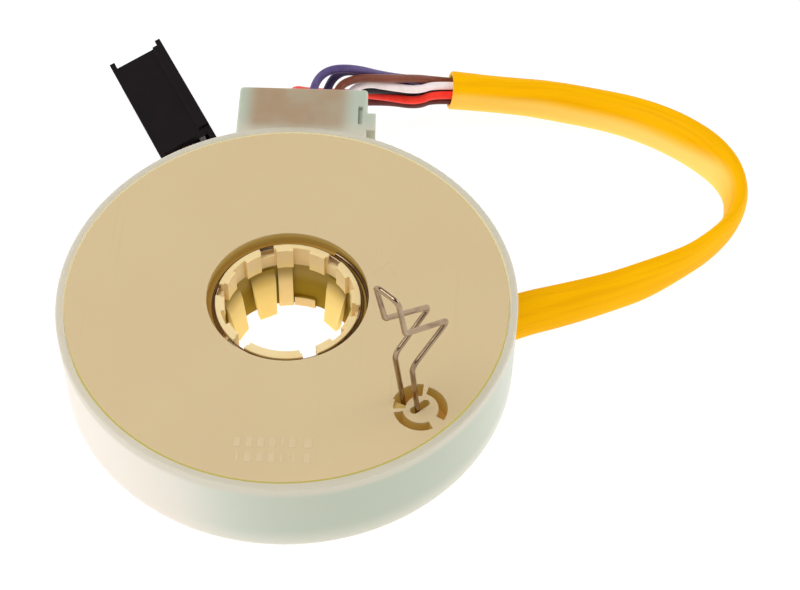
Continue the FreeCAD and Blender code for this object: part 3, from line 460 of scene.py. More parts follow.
def housing_material():
    """Milky natural plastic, with painted light on its pale side and foot, painted shade on its green side
    and over the hollow box, the terminal block's colour painted where it would show through, and a painted
    glow in the gap round the cover.
    """
    plastics = settings().sensor_plastics
    material, tree, shader, skin = moulded_material(
        "housing_plastic", plastics.housing, plastics.housing_tone, cloud_scale=45.0, cloud_share=0.5,
        grain_scale=4200.0, roughness=0.36, gloss_spread=0.12, glow=(0.5, (1.0, 1.0, 0.85), 1.6 * MM))
    vector = object_place(tree)
    low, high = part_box("terminal_block")
    axes = axes_of(tree, vector)
    soft = 2.0 * MM
    # The block's colour painted on the wall where it would show through
    block_show_mask = span(tree, noise(tree, vector, 130.0, 2.0), 0.2, 0.75, 0.65, 1.0)
    for axis, start, end in (("X", low.x - 0.4 * MM, high.x), ("Y", low.y - soft, high.y + 1.5 * soft)):
        block_show_mask = product(tree, block_show_mask, span(tree, axes[axis], start - soft, start + soft))
        block_show_mask = product(tree, block_show_mask, span(tree, axes[axis], end + soft, end - soft))
    # Painted shade over the hollow box
    box_shade_mask = product(tree, span(tree, axes["Y"], low.y - 2 * soft, low.y + soft), 0.9)
    depth = below(tree, vector, FACE_Z)
    # Painted light on the pale side, where nothing stands behind the wall, and painted shade on the green
    # side, where the inner parts do
    pale_side_light = span(tree, towards(tree, vector, PALE_SIDE), 16 * MM, 42 * MM)
    green_side_shade = span(tree, towards(tree, vector, MINT_SIDE), 25 * MM, 45 * MM)
    tone_and_shading = mix_colour(tree, pale_side_light, skin["Color"], rgba(plastics.housing_pale_light))
    tone_and_shading = mix_colour(tree, green_side_shade, tone_and_shading, rgba(plastics.housing_mint_shade))
    # Painted light on the lower wall, as from the bright floor
    foot_light = span(tree, depth, 13 * MM, 19.5 * MM, 0.0, 0.6)
    tone_and_shading = mix_colour(tree, foot_light, tone_and_shading, rgba(plastics.housing_pale_light))
    rim = product(tree, span(tree, depth, 3.0 * MM, 1.2 * MM), 0.85)
    tone_and_shading = mix_colour(tree, rim, tone_and_shading, rgba(plastics.rim_tone))
    tone_and_shading = mix_colour(tree, box_shade_mask, tone_and_shading, rgba(plastics.box_shade))
    tone_and_shading = mix_colour(tree, block_show_mask, tone_and_shading, rgba(plastics.block_seen_through))
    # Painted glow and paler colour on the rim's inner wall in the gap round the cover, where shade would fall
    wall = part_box("cover_disc")[1].x + RIM_FROM_COVER
    at_wall = span(tree, from_axis(tree, vector), wall, wall - 0.08 * MM)
    groove = product(tree, at_wall, span(tree, depth, 0.05 * MM, 0.15 * MM))
    painted_glow(tree, shader, groove, rgba(plastics.rim_tone), 0.55)
    tree.links.new(mix_colour(tree, groove, tone_and_shading, rgba(plastics.rim_tone)), shader.inputs["Base Color"])
    return material


# From the shaft axis: the inner faces of the hub's blocks and fingers, and the
# wall behind them. Under the hub's top: where the fingers start.
HUB_INNER_R = 12.3 * MM
HUB_BEHIND_R = 13.0 * MM
FINGER_TOP = 5.6 * MM


def hub_material():
    """Cream plastic with painted olive yellow shade behind the fingers and at their roots, and painted light
    and a painted glow on the fingers.
    """
    plastics = settings().sensor_plastics
    material, tree, shader, skin = moulded_material(
        "hub_plastic", plastics.hub, plastics.hub_tone, cloud_scale=120.0, cloud_share=0.5,
        grain_scale=5200.0, roughness=0.34, gloss_spread=0.1, glow=(0.3, (1.0, 0.8, 0.4), 0.8 * MM))
    vector = object_place(tree)
    depth = below(tree, vector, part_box("hub")[1].z)
    radius = from_axis(tree, vector)
    inner = span(tree, radius, HUB_INNER_R + 0.5 * MM, HUB_INNER_R)
    # Painted light on the fingers' inner faces
    finger_light = product(tree, inner, span(tree, depth, 1.5 * MM, 7 * MM))
    # Painted olive shade at the fingers' roots
    root_shade = product(tree, span(tree, depth, FINGER_TOP - 0.7 * MM, FINGER_TOP),
                   span(tree, depth, 10.5 * MM, 6 * MM, 0.0, 0.85))
    # Painted olive shade on the wall behind the fingers
    behind = product(tree, span(tree, radius, HUB_BEHIND_R - 0.4 * MM, HUB_BEHIND_R),
                     span(tree, depth, 1.5 * MM, 11 * MM))
    tone_and_shading = mix_colour(tree, finger_light, skin["Color"], rgba(plastics.hub_lit))
    tone_and_shading = mix_colour(tree, root_shade, tone_and_shading, rgba(plastics.hub_deep_shade))
    tree.links.new(mix_colour(tree, behind, tone_and_shading, rgba(plastics.hub_deep_shade)), shader.inputs["Base Color"])
    matt = math_node(tree, "ADD", skin["Roughness"], product(tree, behind, 0.5), clamp=True)
    tree.links.new(matt, shader.inputs["Roughness"])
    shader.inputs["Specular IOR Level"].default_value = 0.2
    # Painted glow towards the fingers' tips
    tip_glow = product(tree, finger_light, span(tree, depth, 8 * MM, 14 * MM, 0.3, 1.0))
    painted_glow(tree, shader, tip_glow, rgba(plastics.hub_lit), 0.26)
    return material


def wire_steel(name, base, dark, **values):
    """Bright drawn wire."""
    material, tree, shader = new_material(name, {"Metallic": 1.0})
    inputs = {"Vector": object_place(tree), "Color": rgba(base), "Dark Color": rgba(dark)}
    inputs.update({key.title(): value for key, value in values.items()})
    skin = place(tree, drawn_wire(), inputs)
    join(tree, shader, skin)
    bump(tree, shader, skin["Height"], 0.003 * MM)
    return material


def vinyl_material(name, base, tone, underside_light=None, straightened=False, line_scale=900.0, cloud_scale=90.0,
                   roughness=0.34, gloss=0.35):
    """Soft vinyl of the sleeve and of the wires' insulation, with a faint painted glow of its own colour, and
    painted light on its downward faces if given that colour.
    """
    # Painted glow: a faint emission in the vinyl's own colour
    material, tree, shader = new_material(name, {
        "Specular IOR Level": gloss, "Emission Color": rgba(base), "Emission Strength": 0.07,
    })
    if straightened:
        vector = node(tree, "ShaderNodeAttribute", attribute_name="straightened").outputs["Vector"]
    else:
        vector = object_place(tree)
    skin = place(tree, vinyl_skin(), {
        "Vector": vector, "Color": rgba(base), "Tone": rgba(tone), "Line Scale": line_scale,
        "Cloud Scale": cloud_scale, "Roughness": roughness,
    })
    join(tree, shader, skin)
    bump(tree, shader, skin["Height"], 0.01 * MM, 0.6)
    # Painted light: paler colour on faces turned downwards, growing along the sleeve up to the turn and
    # fading after it
    if underside_light:
        rise = axes_of(tree, node(tree, "ShaderNodeNewGeometry").outputs["Normal"])["Z"]
        station = axes_of(tree, vector)["Z"]
        growing = span(tree, station, 0.0, 70 * MM, 0.5, 1.0)
        fading = span(tree, station, 70 * MM, 88 * MM, 1.0, 0.0)
        share = product(tree, span(tree, rise, 0.72, 0.36), product(tree, growing, fading))
        tree.links.new(mix_colour(tree, share, skin["Color"], rgba(underside_light)), shader.inputs["Base Color"])
    return material


def board_material():
    """Green solder mask over woven glass."""
    material, tree, shader = new_material("circuit_board", {"Specular IOR Level": 0.5})
    vector = object_place(tree)
    weave = node(tree, "ShaderNodeTexWave", {
        "Vector": vector, "Scale": 900.0, "Distortion": 0.4,
    }).outputs["Fac"]
    skin = place(tree, moulded_skin(), {
        "Vector": vector, "Color": rgba(colour(42, 92, 58)), "Tone": rgba(colour(34, 78, 50)),
        "Cloud Scale": 90.0, "Roughness": 0.3,
    })
    threads = mix_colour(tree, product(tree, weave, 0.25), skin["Color"], rgba(colour(70, 120, 70)))
    tree.links.new(threads, shader.inputs["Base Color"])
    tree.links.new(skin["Roughness"], shader.inputs["Roughness"])
    bump(tree, shader, weave, 0.005 * MM, 0.4)
    return material


def dress(node_name, material):
    """Gives a CAD node its finish."""
    for material_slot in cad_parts[node_name].material_slots:
        material_slot.material = material


# Cords

# Route of the sleeve, in millimetres; its first point is the mouth by the box.
SLEEVE_LIE = (GROUND_Z + 4.0 * MM) / MM
SLEEVE_ROUTE = [
    (31.5, 73.6, -14.5), (46.2, 74.9, -16.9), (60.0, 74.9, -19.3), (73.9, 71.7, SLEEVE_LIE),
    (86.2, 64.2, SLEEVE_LIE), (93.4, 53.5, SLEEVE_LIE), (92.6, 42.1, SLEEVE_LIE), (85.4, 33.4, SLEEVE_LIE),
    (75.8, 26.8, SLEEVE_LIE), (65.8, 21.8, SLEEVE_LIE), (55.0, 18.0, SLEEVE_LIE), (45.5, 15.2, SLEEVE_LIE),
    (35.5, 9.6, SLEEVE_LIE), (28.6, 0.2, SLEEVE_LIE), (25.1, -12.0, SLEEVE_LIE), (17.3, -23.0, SLEEVE_LIE),
    (5.0, -29.5, SLEEVE_LIE), (-9.0, -29.2, SLEEVE_LIE), (-21.5, -22.3, SLEEVE_LIE),
    (-29.0, -10.8, SLEEVE_LIE), (-31.2, 2.6, SLEEVE_LIE), (-29.2, 15.6, SLEEVE_LIE),
    (-24.3, 27.0, SLEEVE_LIE), (-20.6, 36.8, SLEEVE_LIE),
]

# Each wire: its hole in the terminal block (x, depth), the free points of its
# route (z from the face), its place in the sleeve, and its colours.
WIRES = {
    "purple_wire": ((1.5, 4.4), [(4.2, 62.7, -2.2), (9.9, 64.5, -3.1), (17.1, 69.1, -10.0),
                                 (24.0, 74.8, -16.5)], 6, (98, 82, 134), (80, 66, 112)),
    "navy_wire": ((3.6, 7.8), [(6.7, 66.8, -5.8), (14.5, 71.6, -12.2), (23.6, 75.0, -19.3)], 5,
                  (60, 46, 88), (44, 34, 64)),
    "brown_wire": ((6.3, 4.4), [(10.5, 63.1, -4.6), (17.4, 66.4, -8.0), (24.2, 71.9, -13.2)], 1,
                   (128, 66, 44), (108, 54, 36)),
    "white_wire": ((7.8, 8.0), [(12.0, 64.9, -7.7), (18.0, 66.9, -10.9), (24.2, 69.8, -14.8)], 2,
                   (250, 238, 236), (236, 220, 226)),
    "black_wire": ((6.0, 11.6), [(10.6, 66.0, -11.1), (17.4, 69.7, -14.9), (24.4, 71.9, -17.8)], 0,
                   (36, 28, 36), (26, 20, 28)),
    "red_wire": ((-3.3, 4.4), [(1.0, 63.0, -9.3), (8.4, 67.3, -13.6), (16.2, 69.1, -16.1),
                               (24.0, 69.6, -18.2)], 3, (255, 62, 42), (240, 42, 32)),
    "maroon_wire": ((-0.9, 8.6), [(1.6, 63.5, -15.2), (8.6, 69.7, -19.1), (17.2, 72.3, -21.0),
                                  (24.2, 72.1, -22.0)], 4, (104, 50, 44), (84, 38, 34)),
}
BUNDLE_TOP = Vector((0.0, 0.78, 0.62))
WIRE_SEAT = 4.0 * MM

# The plug's near corner, its turns, and its cavities (x, z), lower row first,
# with the place in the sleeve's far mouth and the wire that goes into each one.
PLUG_CORNER = Vector((-28.4 * MM, 52.3 * MM, GROUND_Z))
PLUG_YAW = math.radians(27.3)
PLUG_ROLL = math.radians(-15.0)
PLUG_POCKET = 8.0 * MM
PLUG_RUN = 9.0 * MM
PLUG_LEAD = 3.0 * MM
PLUG_CAVITIES = [
    (2.6, 3.2, 5, "red_wire"), (5.1, 3.2, 4, "maroon_wire"), (7.6, 3.2, 0, "navy_wire"),
    (10.1, 3.2, 3, "white_wire"), (3.8, 6.3, 6, "purple_wire"), (6.3, 6.3, 1, "brown_wire"),
    (8.8, 6.3, 2, "black_wire"),
]


def metres(points):
    return [Vector(point) * MM for point in points]


def hex_offset(place_in_sleeve, heading, top, pitch):
    """Where a wire lies in the sleeve: the core, or one of six round it."""
    if place_in_sleeve == 0:
        return Vector((0.0, 0.0, 0.0))
    side = heading.cross(top).normalized()
    upright = side.cross(heading).normalized()
    turn = math.radians(60 * (place_in_sleeve - 1))
    return (upright * math.cos(turn) + side * math.sin(turn)) * pitch


def route_curve(name, points):
    """A smooth line with the route's points as its control points."""
    curve = bpy.data.curves.new(name, "CURVE")
    curve.dimensions = "3D"
    curve.resolution_u = 12
    spline = curve.splines.new("NURBS")
    spline.points.add(len(points) - 1)
    for control, point in zip(spline.points, points):
        control.co = (*point, 1.0)
    spline.order_u = 3
    spline.use_endpoint_u = True
    return curve


def line_length(points):
    return sum((ahead - behind).length for behind, ahead in zip(points, points[1:]))


def line_points(curve):
    """Points along a curve that has no bevel."""
    holder = bpy.data.objects.new("line_holder", curve)
    mesh = bpy.data.meshes.new_from_object(holder)
    points = [vertex.co.copy() for vertex in mesh.vertices]
    bpy.data.meshes.remove(mesh)
    bpy.data.objects.remove(holder)
    return points


def even_points(points, gap):
    """The line's points again, evenly spaced."""
    total = line_length(points)
    count = max(2, round(total / gap))
    step = total / count
    spaced = [points[0].copy()]
    travelled = 0.0
    for behind, ahead in zip(points, points[1:]):
        run = (ahead - behind).length
        while len(spaced) < count and travelled + run >= step * len(spaced):
            share = (step * len(spaced) - travelled) / run
            spaced.append(behind.lerp(ahead, share))
        travelled += run
    spaced.append(points[-1].copy())
    return spaced


def show(piece):
    bpy.context.scene.collection.objects.link(piece)
    return piece


def round_wire(name, points, diameter, material):
    """A wire as a curve with a round section."""
    curve = route_curve(name, points)
    length = line_length(line_points(curve))
    curve.bevel_depth = diameter / 2
    curve.bevel_resolution = 4
    curve.use_fill_caps = True
    curve.materials.append(material)
    piece = show(bpy.data.objects.new(name, curve))
    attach(piece, "housing")
    return piece, length


def shade_smooth(mesh):
    for polygon in mesh.polygons:
        polygon.use_smooth = True


def piece_from(bm, name, material, body):
    """Turns a bmesh into a smooth-shaded piece that rides on a body."""
    mesh = bpy.data.meshes.new(name)
    bm.to_mesh(mesh)
    bm.free()
    mesh.materials.append(material)
    shade_smooth(mesh)
    piece = show(bpy.data.objects.new(name, mesh))
    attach(piece, body)
    return piece


SLEEVE_SEGMENTS = 32
SLEEVE_STEP = 1.5 * MM

# How the turn flattens the sleeve: distance from the mouth, width and height
# as shares of its diameter, and how far the long axis leans to the turn's inside.
SLEEVE_FORM = (
    (0.0, 1.05, 1.05, 0.0), (10.0, 1.0, 1.02, -20.0), (28.0, 0.9, 1.11, -42.0), (52.0, 0.73, 1.22, -42.0),
    (74.0, 0.5, 1.2, -14.0), (94.0, 0.42, 1.19, 0.0), (112.0, 0.54, 1.2, 15.0), (140.0, 0.8, 1.15, 40.0),
    (175.0, 0.9, 1.1, 45.0), (230.0, 0.95, 1.05, 45.0), (260.0, 1.0, 1.0, 0.0),
)


def sleeve_form(travelled):
    """Width share, height share and lean at a distance from the mouth."""
    for behind, ahead in zip(SLEEVE_FORM, SLEEVE_FORM[1:]):
        if travelled <= ahead[0] * MM:
            share = (travelled / MM - behind[0]) / (ahead[0] - behind[0])
            share = share * share * (3 - 2 * share)
            return [low + share * (high - low) for low, high in zip(behind[1:], ahead[1:])]
    return SLEEVE_FORM[-1][1:]


def sleeve_matrix(centre, heading, width, height, lean):
    """Turns a unit circle into one oval ring of the sleeve."""
    level = heading.cross(Vector((0, 0, 1))).normalized()
    plumb = level.cross(heading).normalized()
    upright = plumb * math.cos(lean) + level * math.sin(lean)
    side = level * math.cos(lean) - plumb * math.sin(lean)
    matrix = Matrix((side * width, upright * height, heading)).transposed().to_4x4()
    matrix.translation = centre
    return matrix


def sleeve_rings(points, sleeve):
    """Centre, heading, half width, half height and lean of each ring, mouths included."""
    radius = sleeve.diameter / 2
    bore = sleeve.bore / 2
    rings = []
    travelled = 0.0
    for index, point in enumerate(points):
        behind = points[max(0, index - 1)]
        ahead = points[min(len(points) - 1, index + 1)]
        width_share, height_share, lean = sleeve_form(travelled)
        width = radius * width_share
        height = radius * height_share
        lean = math.radians(lean)
        reach = math.hypot(height * math.cos(lean), width * math.sin(lean))
        lifted = point + Vector((0, 0, reach - radius))
        rings.append((lifted, (ahead - behind).normalized(), width, height, lean))
        travelled += (ahead - point).length
    return mouth_rings(rings[0], -1, bore, sleeve)[::-1] + rings + mouth_rings(rings[-1], 1, bore, sleeve)


def mouth_rings(end_ring, way, bore, sleeve):
    """Rings that turn the sleeve's end inwards to an open mouth."""
    centre, heading, radius = end_ring[:3]
    out = heading * way
    lip = (radius - bore) / 2
    return [
        (centre + out * lip * 0.6, heading, radius - lip * 0.4, radius - lip * 0.4, 0.0),
        (centre + out * lip * 0.6, heading, bore + lip * 0.4, bore + lip * 0.4, 0.0),
        (centre, heading, bore, bore, 0.0),
        (centre - out * sleeve.mouth, heading, bore, bore, 0.0),
    ]


def tube_through(rings, segments):
    """A closed tube: a circle extruded from ring to ring, capped at both ends."""
    bm = bmesh.new()
    layer = bm.verts.layers.float_vector.new("straightened")
    first = sleeve_matrix(*rings[0])
    bmesh.ops.create_circle(bm, cap_ends=False, segments=segments, radius=1.0, matrix=first)
    bm.verts.ensure_lookup_table()
    loop = list(bm.edges)
    loops = [list(bm.verts)]
    matrix = first
    travelled = 0.0
    stations = [0.0]
    for behind, ring in zip(rings, rings[1:]):
        following = sleeve_matrix(*ring)
        made = bmesh.ops.extrude_edge_only(bm, edges=loop)["geom"]
        verts = [item for item in made if isinstance(item, bmesh.types.BMVert)]
        loop = [item for item in made if isinstance(item, bmesh.types.BMEdge)
                and all(end in verts for end in item.verts)]
        bmesh.ops.transform(bm, matrix=following @ matrix.inverted(), verts=verts)
        matrix = following
        travelled += (ring[0] - behind[0]).length
        loops.append(verts)
        stations.append(travelled)
    for verts, ring, station in zip(loops, rings, stations):
        unturned = sleeve_matrix(*ring).inverted()
        for vert in verts:
            local = unturned @ vert.co
            vert[layer] = Vector((local.x * ring[2], local.y * ring[3], station))
    ends = [edge for edge in bm.edges if edge.is_boundary]
    bmesh.ops.holes_fill(bm, edges=ends, sides=segments)
    bmesh.ops.recalc_face_normals(bm, faces=bm.faces)
    return bm


# Marks on the cover: sizes in millimetres, places on the cover's face

MARK_HEIGHT = 0.05


def raised_bar(bm, centre, size, turn):
    """A low bar with softened edges on the cover's face."""
    matrix = Matrix.Translation(Vector((centre[0], centre[1], FACE_Z / MM)) * MM)
    matrix = matrix @ Matrix.Rotation(turn, 4, "Z") @ Matrix.Diagonal(
        (size[0] * MM, size[1] * MM, 2 * MARK_HEIGHT * MM, 1.0))
    made = bmesh.ops.create_cube(bm, size=1.0, matrix=matrix)["verts"]
    top = [edge for edge in bm.edges
           if all(end in made and end.co.z > FACE_Z for end in edge.verts)]
    bmesh.ops.bevel(bm, geom=top, offset=MARK_HEIGHT * 0.6 * MM, affect="EDGES", segments=2, profile=0.5,
                    material=-1)


# Two rows of plain blocks: y of each row, and x and width of each block
MARK_ROWS = (
    (-33.8, ((-7.2, 1.3), (-5.0, 1.3), (-2.9, 1.3), (-0.8, 1.3), (1.0, 0.6), (2.8, 1.3), (5.6, 1.5))),
    (-37.0, ((-7.0, 0.6), (-5.0, 1.3), (-2.9, 1.3), (-0.8, 1.3), (1.0, 0.6), (3.2, 0.6), (5.6, 1.3))),
)
MARK_TALL = 2.1

# The two strokes of the witness mark: centre, length and width, and turn in degrees
WITNESS_STROKES = (
    ((17.6, 7.5), (4.3, 0.2), 44),
    ((19.95, 7.3), (3.6, 0.2), -74),
)


def face_marks():
    """Two faint rows of plain blocks, and an arrow-shaped witness mark."""
    bm = bmesh.new()
    for y, blocks in MARK_ROWS:
        for x, width in blocks:
            raised_bar(bm, (x, y), (width, MARK_TALL), 0.0)
    for centre, size, turn in WITNESS_STROKES:
        raised_bar(bm, centre, size, math.radians(turn))
    return bm


class SENSOR_OT_cover(Operator):
    """Dresses the cover disc and adds its faint raised marks"""

    bl_idname = "sensor.cover"
    bl_label = "Cover disc"

    def execute(self, context):
        dress("cover_disc", cover_material())
        plastics = settings().sensor_plastics
        worn = moulded_material("worn_marks", plastics.mark, colour(219, 196, 154), cloud_scale=300.0,
                                roughness=0.46)[0]
        piece_from(face_marks(), "face_marks", worn, "cover")
        return {"FINISHED"}


class SENSOR_OT_housing(Operator):
    """Dresses the housing and the block in its box"""

    bl_idname = "sensor.housing"
    bl_label = "Housing"

    def execute(self, context):
        dress("housing", housing_material())
        block = moulded_material("terminal_plastic", colour(202, 176, 146), colour(188, 160, 130),
                                 cloud_scale=110.0, roughness=0.5)[0]
        dress("terminal_block", block)
        return {"FINISHED"}


class SENSOR_OT_hub(Operator):
    """Dresses the collet hub"""

    bl_idname = "sensor.hub"
    bl_label = "Hub"

    def execute(self, context):
        dress("hub", hub_material())
        return {"FINISHED"}


class SENSOR_OT_springs(Operator):
    """Dresses the drive spring and the two wire rings"""

    bl_idname = "sensor.springs"
    bl_label = "Springs and rings"

    def execute(self, context):
        metals = settings().sensor_metals
        steel = wire_steel("spring_wire", metals.wire, metals.wire_dark)
        for name in ("drive_spring", "snap_ring", "retaining_ring"):
            dress(name, steel)
        return {"FINISHED"}


class SENSOR_OT_inside(Operator):
    """Dresses the board, tracks, wipers, carrier and washer inside"""

    bl_idname = "sensor.inside"
    bl_label = "Inner pieces"

    def execute(self, context):
        metals = settings().sensor_metals
        dress("stator_board", board_material())
        brass = wire_steel("contact_tracks", colour(206, 160, 96), colour(176, 128, 74), oxide=0.4)
        dress("ring_tracks", brass)
        carbon = moulded_material("resistive_track", colour(44, 42, 40), colour(36, 34, 34),
                                  roughness=0.45)[0]
        dress("torque_track", carbon)
        grey = moulded_material("carrier_plastic", colour(66, 66, 68), colour(56, 56, 58), roughness=0.5)[0]
        dress("wiper_carrier", grey)
        bronze = wire_steel("wiper_metal", metals.wiper, colour(170, 140, 88), oxide=0.3)
        dress("torque_wipers", bronze)
        dress("position_wipers", bronze)
        tin = wire_steel("tinned_pins", metals.tin, colour(150, 150, 150), oxide=0.3, roughness=0.24)
        dress("board_pins", tin)
        dress("plug_contacts", tin)
        washer = wire_steel("washer_steel", colour(176, 176, 178), colour(140, 140, 142), oxide=0.4,
                            roughness=0.26)
        dress("thrust_washer", washer)
        return {"FINISHED"}


def sleeve_line():
    return metres(SLEEVE_ROUTE)


def wire_materials():
    made = {}
    for name, (_, _, _, base, tone) in WIRES.items():
        material = bpy.data.materials.get(name)
        made[name] = material or vinyl_material(name, colour(*base), colour(*tone), line_scale=700.0,
                                                roughness=0.3, gloss=0.26)
    return made


class SENSOR_OT_sleeve(Operator):
    """Builds the yellow sleeve, flattened where it turns"""

    bl_idname = "sensor.sleeve"
    bl_label = "Cable sleeve"

    def execute(self, context):
        sleeve = settings().sensor_sleeve
        points = even_points(line_points(route_curve("sleeve_line", sleeve_line())), SLEEVE_STEP)
        rings = sleeve_rings(points, sleeve)
        material = vinyl_material("yellow_vinyl", sleeve.skin, sleeve.skin_tone, underside_light=sleeve.skin_underside_light,
                                  straightened=True, cloud_scale=26.0, roughness=0.42, gloss=0.04)
        piece = piece_from(tube_through(rings, SLEEVE_SEGMENTS), "yellow_sleeve", material, "housing")
        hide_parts("cable_sleeve")
        return {"FINISHED"}


class SENSOR_OT_lead_wires(Operator):
    """Builds the seven bare wires from the box to the sleeve"""

    bl_idname = "sensor.lead_wires"
    bl_label = "Wires at the box"

    def execute(self, context):
        wires = settings().sensor_wires
        mouth_depth = settings().sensor_sleeve.mouth
        materials = wire_materials()
        line = sleeve_line()
        heading = (line[1] - line[0]).normalized()
        face_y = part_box("terminal_block")[1].y
        for name, ((x, depth), free, place_in_sleeve, _, _) in WIRES.items():
            mouth = line[0] + hex_offset(place_in_sleeve, heading, BUNDLE_TOP, wires.pitch)
            hole = Vector((x * MM, face_y, FACE_Z - depth * MM))
            route = [hole - Vector((0, WIRE_SEAT, 0)), hole + Vector((0, wires.lead, 0))]
            route += [Vector((px * MM, py * MM, FACE_Z + pz * MM)) for px, py, pz in free]
            route += [mouth - heading * wires.lead, mouth + heading * mouth_depth]
            colour_name = name.split("_")[0]
            piece, length = round_wire(name, route, wires.diameter, materials[name])
            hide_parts("wire_" + colour_name)
        return {"FINISHED"}


def plug_matrix():
    turn = Matrix.Rotation(PLUG_YAW, 4, "Z") @ Matrix.Rotation(PLUG_ROLL, 4, "Y")
    return Matrix.Translation(PLUG_CORNER) @ turn


class SENSOR_OT_plug_wires(Operator):
    """Builds the seven wires from the sleeve's far end to the plug"""

    bl_idname = "sensor.plug_wires"
    bl_label = "Wires at the plug"

    def execute(self, context):
        wires = settings().sensor_wires
        mouth_depth = settings().sensor_sleeve.mouth
        materials = wire_materials()
        line = sleeve_line()
        heading = (line[-1] - line[-2]).normalized()
        matrix = plug_matrix()
        for x, z, place_in_sleeve, name in PLUG_CAVITIES:
            mouth = line[-1] + hex_offset(place_in_sleeve, heading, Vector((0, 0, 1)), wires.pitch)
            route = [mouth - heading * mouth_depth, mouth + heading * PLUG_LEAD]
            for y in (PLUG_POCKET - PLUG_RUN, PLUG_POCKET + WIRE_SEAT):
                route.append(matrix @ Vector((x * MM, y, z * MM)))
            piece, length = round_wire("plug_" + name, route, wires.diameter, materials[name])
            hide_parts("plug_wires")
        return {"FINISHED"}


class SENSOR_OT_plug(Operator):
    """Dresses the black plug"""

    bl_idname = "sensor.plug"
    bl_label = "Plug"

    def execute(self, context):
        plastics = settings().sensor_plastics
        material = moulded_material("plug_plastic", plastics.plug, colour(15, 12, 13), cloud_scale=150.0,
                                    grain_scale=4200.0, grain_height=0.01 * MM, roughness=0.5)[0]
        material.node_tree.nodes["Principled BSDF"].inputs["Specular IOR Level"].default_value = 0.1
        dress("plug_housing", material)
        return {"FINISHED"}


# Stage

CAMERA_PLACE = Vector((21.4, -230.9, 295.7)) * MM
SENSOR_WIDTH = 36.0


def add_camera(stage):
    """The camera at the photograph's place and angle."""
    data = bpy.data.cameras.new("camera")
    data.sensor_width = SENSOR_WIDTH
    data.lens = stage.focal_pixels / PHOTO_WIDTH * SENSOR_WIDTH
    data.clip_start = 0.01
    data.clip_end = 20.0
    camera = show(bpy.data.objects.new("camera", data))
    forward = Vector((0, math.cos(stage.tilt), -math.sin(stage.tilt)))
    across = Vector((1, 0, 0))
    upright = across.cross(forward)
    right = across * math.cos(stage.roll) + upright * math.sin(stage.roll)
    top = upright * math.cos(stage.roll) - across * math.sin(stage.roll)
    matrix = Matrix((right, top, -forward)).transposed().to_4x4()
    matrix.translation = CAMERA_PLACE
    camera.matrix_world = matrix
    bpy.context.scene.camera = camera


# Soft round lamps that face the part: name, place, width in metres and watts
LAMPS = (
    ("overhead", (-0.25, -0.05, 0.9), 0.7, 4.1),
    ("right_fill", (0.9, 0.3, 0.5), 0.5, 1.6),
)
FLOOR_REACH = 4.0


def add_lamp(name, place_at, size, power):
    data = bpy.data.lights.new(name, "AREA")
    data.shape = "DISK"
    data.size = size
    data.energy = power
    lamp = show(bpy.data.objects.new(name, data))
    lamp.location = place_at
    lamp.rotation_euler = (-Vector(place_at)).to_track_quat("-Z", "Y").to_euler()


def as_seen(tree, light, shown):
    """One level as light, and another for rays from the camera, mirror and glass."""
    path = node(tree, "ShaderNodeLightPath").outputs
    seen = math_node(tree, "MAXIMUM", path["Is Camera Ray"], path["Is Glossy Ray"])
    seen = math_node(tree, "MAXIMUM", seen, path["Is Transmission Ray"])
    level = node(tree, "ShaderNodeMapRange", {"Value": seen, "To Min": light, "To Max": shown})
    return level.outputs["Result"]


def add_world(strength, side_strength, white):
    """White as seen, with a dim ceiling; as light, stronger from the two sides."""
    world = bpy.data.worlds.new("studio")
    bpy.context.scene.world = world
    world.use_nodes = True
    tree = world.node_tree
    background = tree.nodes["Background"]
    background.inputs["Color"].default_value = (1.0, 1.0, 1.0, 1.0)
    axes = axes_of(tree, node(tree, "ShaderNodeTexCoord").outputs["Generated"])
    light = span(tree, math_node(tree, "ABSOLUTE", axes["X"]), 0.2, 0.9, strength, side_strength)
    shown = span(tree, axes["Z"], 0.3, 0.75, white, 0.1)
    tree.links.new(as_seen(tree, light, shown), background.inputs["Strength"])


def floor_material(white, glow):
    """A light table: it shows white, keeps a soft shadow, and lights what stands on it."""
    material = bpy.data.materials.new("pale_floor")
    material.use_nodes = True
    tree = material.node_tree
    tree.nodes.remove(tree.nodes["Principled BSDF"])
    output = tree.nodes["Material Output"]
    paper = node(tree, "ShaderNodeBsdfDiffuse", {"Color": (0.9, 0.9, 0.9, 1.0)}).outputs[0]
    bright = node(tree, "ShaderNodeEmission", {
        "Color": (1.0, 1.0, 1.0, 1.0), "Strength": as_seen(tree, glow, white),
    }).outputs[0]
    mixed = node(tree, "ShaderNodeMixShader", {0: 0.82, 1: paper, 2: bright})
    tree.links.new(mixed.outputs[0], output.inputs["Surface"])
    return material


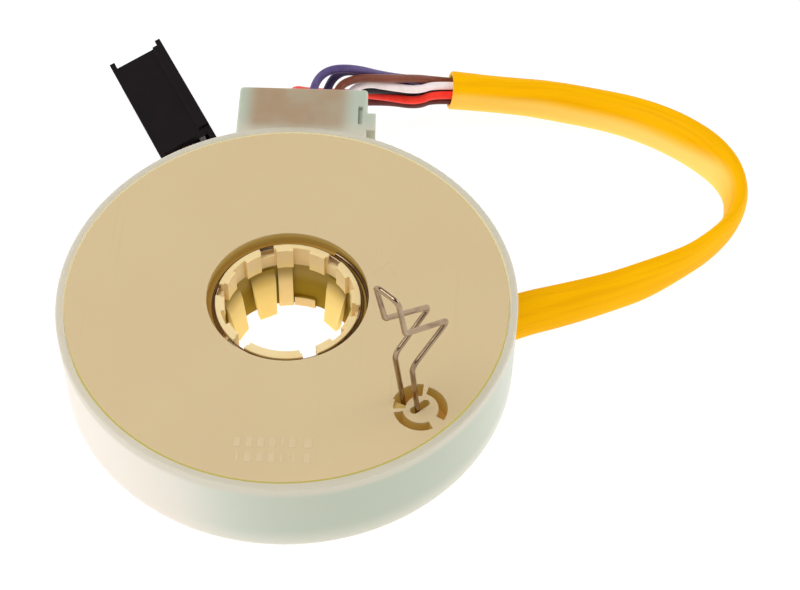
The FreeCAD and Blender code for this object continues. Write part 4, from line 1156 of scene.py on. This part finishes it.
class SENSOR_OT_stage(Operator):
    """Adds the floor, the soft lamps, the world and the camera"""

    bl_idname = "sensor.stage"
    bl_label = "Stage"

    def execute(self, context):
        stage = settings().sensor_stage
        context.scene.view_settings.view_transform = "Standard"
        bm = bmesh.new()
        bmesh.ops.create_grid(bm, x_segments=1, y_segments=1, size=FLOOR_REACH,
                              matrix=Matrix.Translation((0, 0, GROUND_Z)))
        mesh = bpy.data.meshes.new("floor")
        bm.to_mesh(mesh)
        bm.free()
        mesh.materials.append(floor_material(stage.white, stage.floor_glow))
        show(bpy.data.objects.new("floor", mesh))
        add_world(stage.room, stage.sides, stage.white)
        for lamp in LAMPS:
            add_lamp(*lamp)
        add_camera(stage)
        return {"FINISHED"}


OPERATORS = (
    SENSOR_OT_cover, SENSOR_OT_housing, SENSOR_OT_hub, SENSOR_OT_springs, SENSOR_OT_inside,
    SENSOR_OT_sleeve, SENSOR_OT_lead_wires, SENSOR_OT_plug, SENSOR_OT_plug_wires, SENSOR_OT_stage,
)
GROUPS = {
    "sensor_plastics": SensorPlastics, "sensor_metals": SensorMetals, "sensor_sleeve": SensorSleeve,
    "sensor_wires": SensorWires, "sensor_stage": SensorStage,
}


class SENSOR_PT_looks(Panel):
    """Settings and steps of the sensor's looks"""

    bl_idname = "SENSOR_PT_looks"
    bl_label = "Steering sensor"
    bl_space_type = "VIEW_3D"
    bl_region_type = "UI"
    bl_category = "Sensor"

    def draw(self, context):
        column = self.layout.column()
        for name in GROUPS:
            values = getattr(context.scene, name)
            for key in values.bl_rna.properties.keys():
                if key not in ("rna_type", "name"):
                    column.prop(values, key)
        for operator in OPERATORS:
            column.operator(operator.bl_idname)


def register():
    for name, kind in GROUPS.items():
        bpy.utils.register_class(kind)
        setattr(bpy.types.Scene, name, PointerProperty(type=kind))
    for kind in OPERATORS:
        bpy.utils.register_class(kind)
    bpy.utils.register_class(SENSOR_PT_looks)


def unregister():
    bpy.utils.unregister_class(SENSOR_PT_looks)
    for kind in reversed(OPERATORS):
        bpy.utils.unregister_class(kind)
    for name, kind in reversed(list(GROUPS.items())):
        delattr(bpy.types.Scene, name)
        bpy.utils.unregister_class(kind)


def main():
    register()
    bpy.ops.sensor.cover()
    bpy.ops.sensor.housing()
    bpy.ops.sensor.hub()
    bpy.ops.sensor.springs()
    bpy.ops.sensor.inside()
    bpy.ops.sensor.sleeve()
    bpy.ops.sensor.lead_wires()
    bpy.ops.sensor.plug()
    bpy.ops.sensor.plug_wires()
    bpy.ops.sensor.stage()


if __name__ == "__main__":
    main()
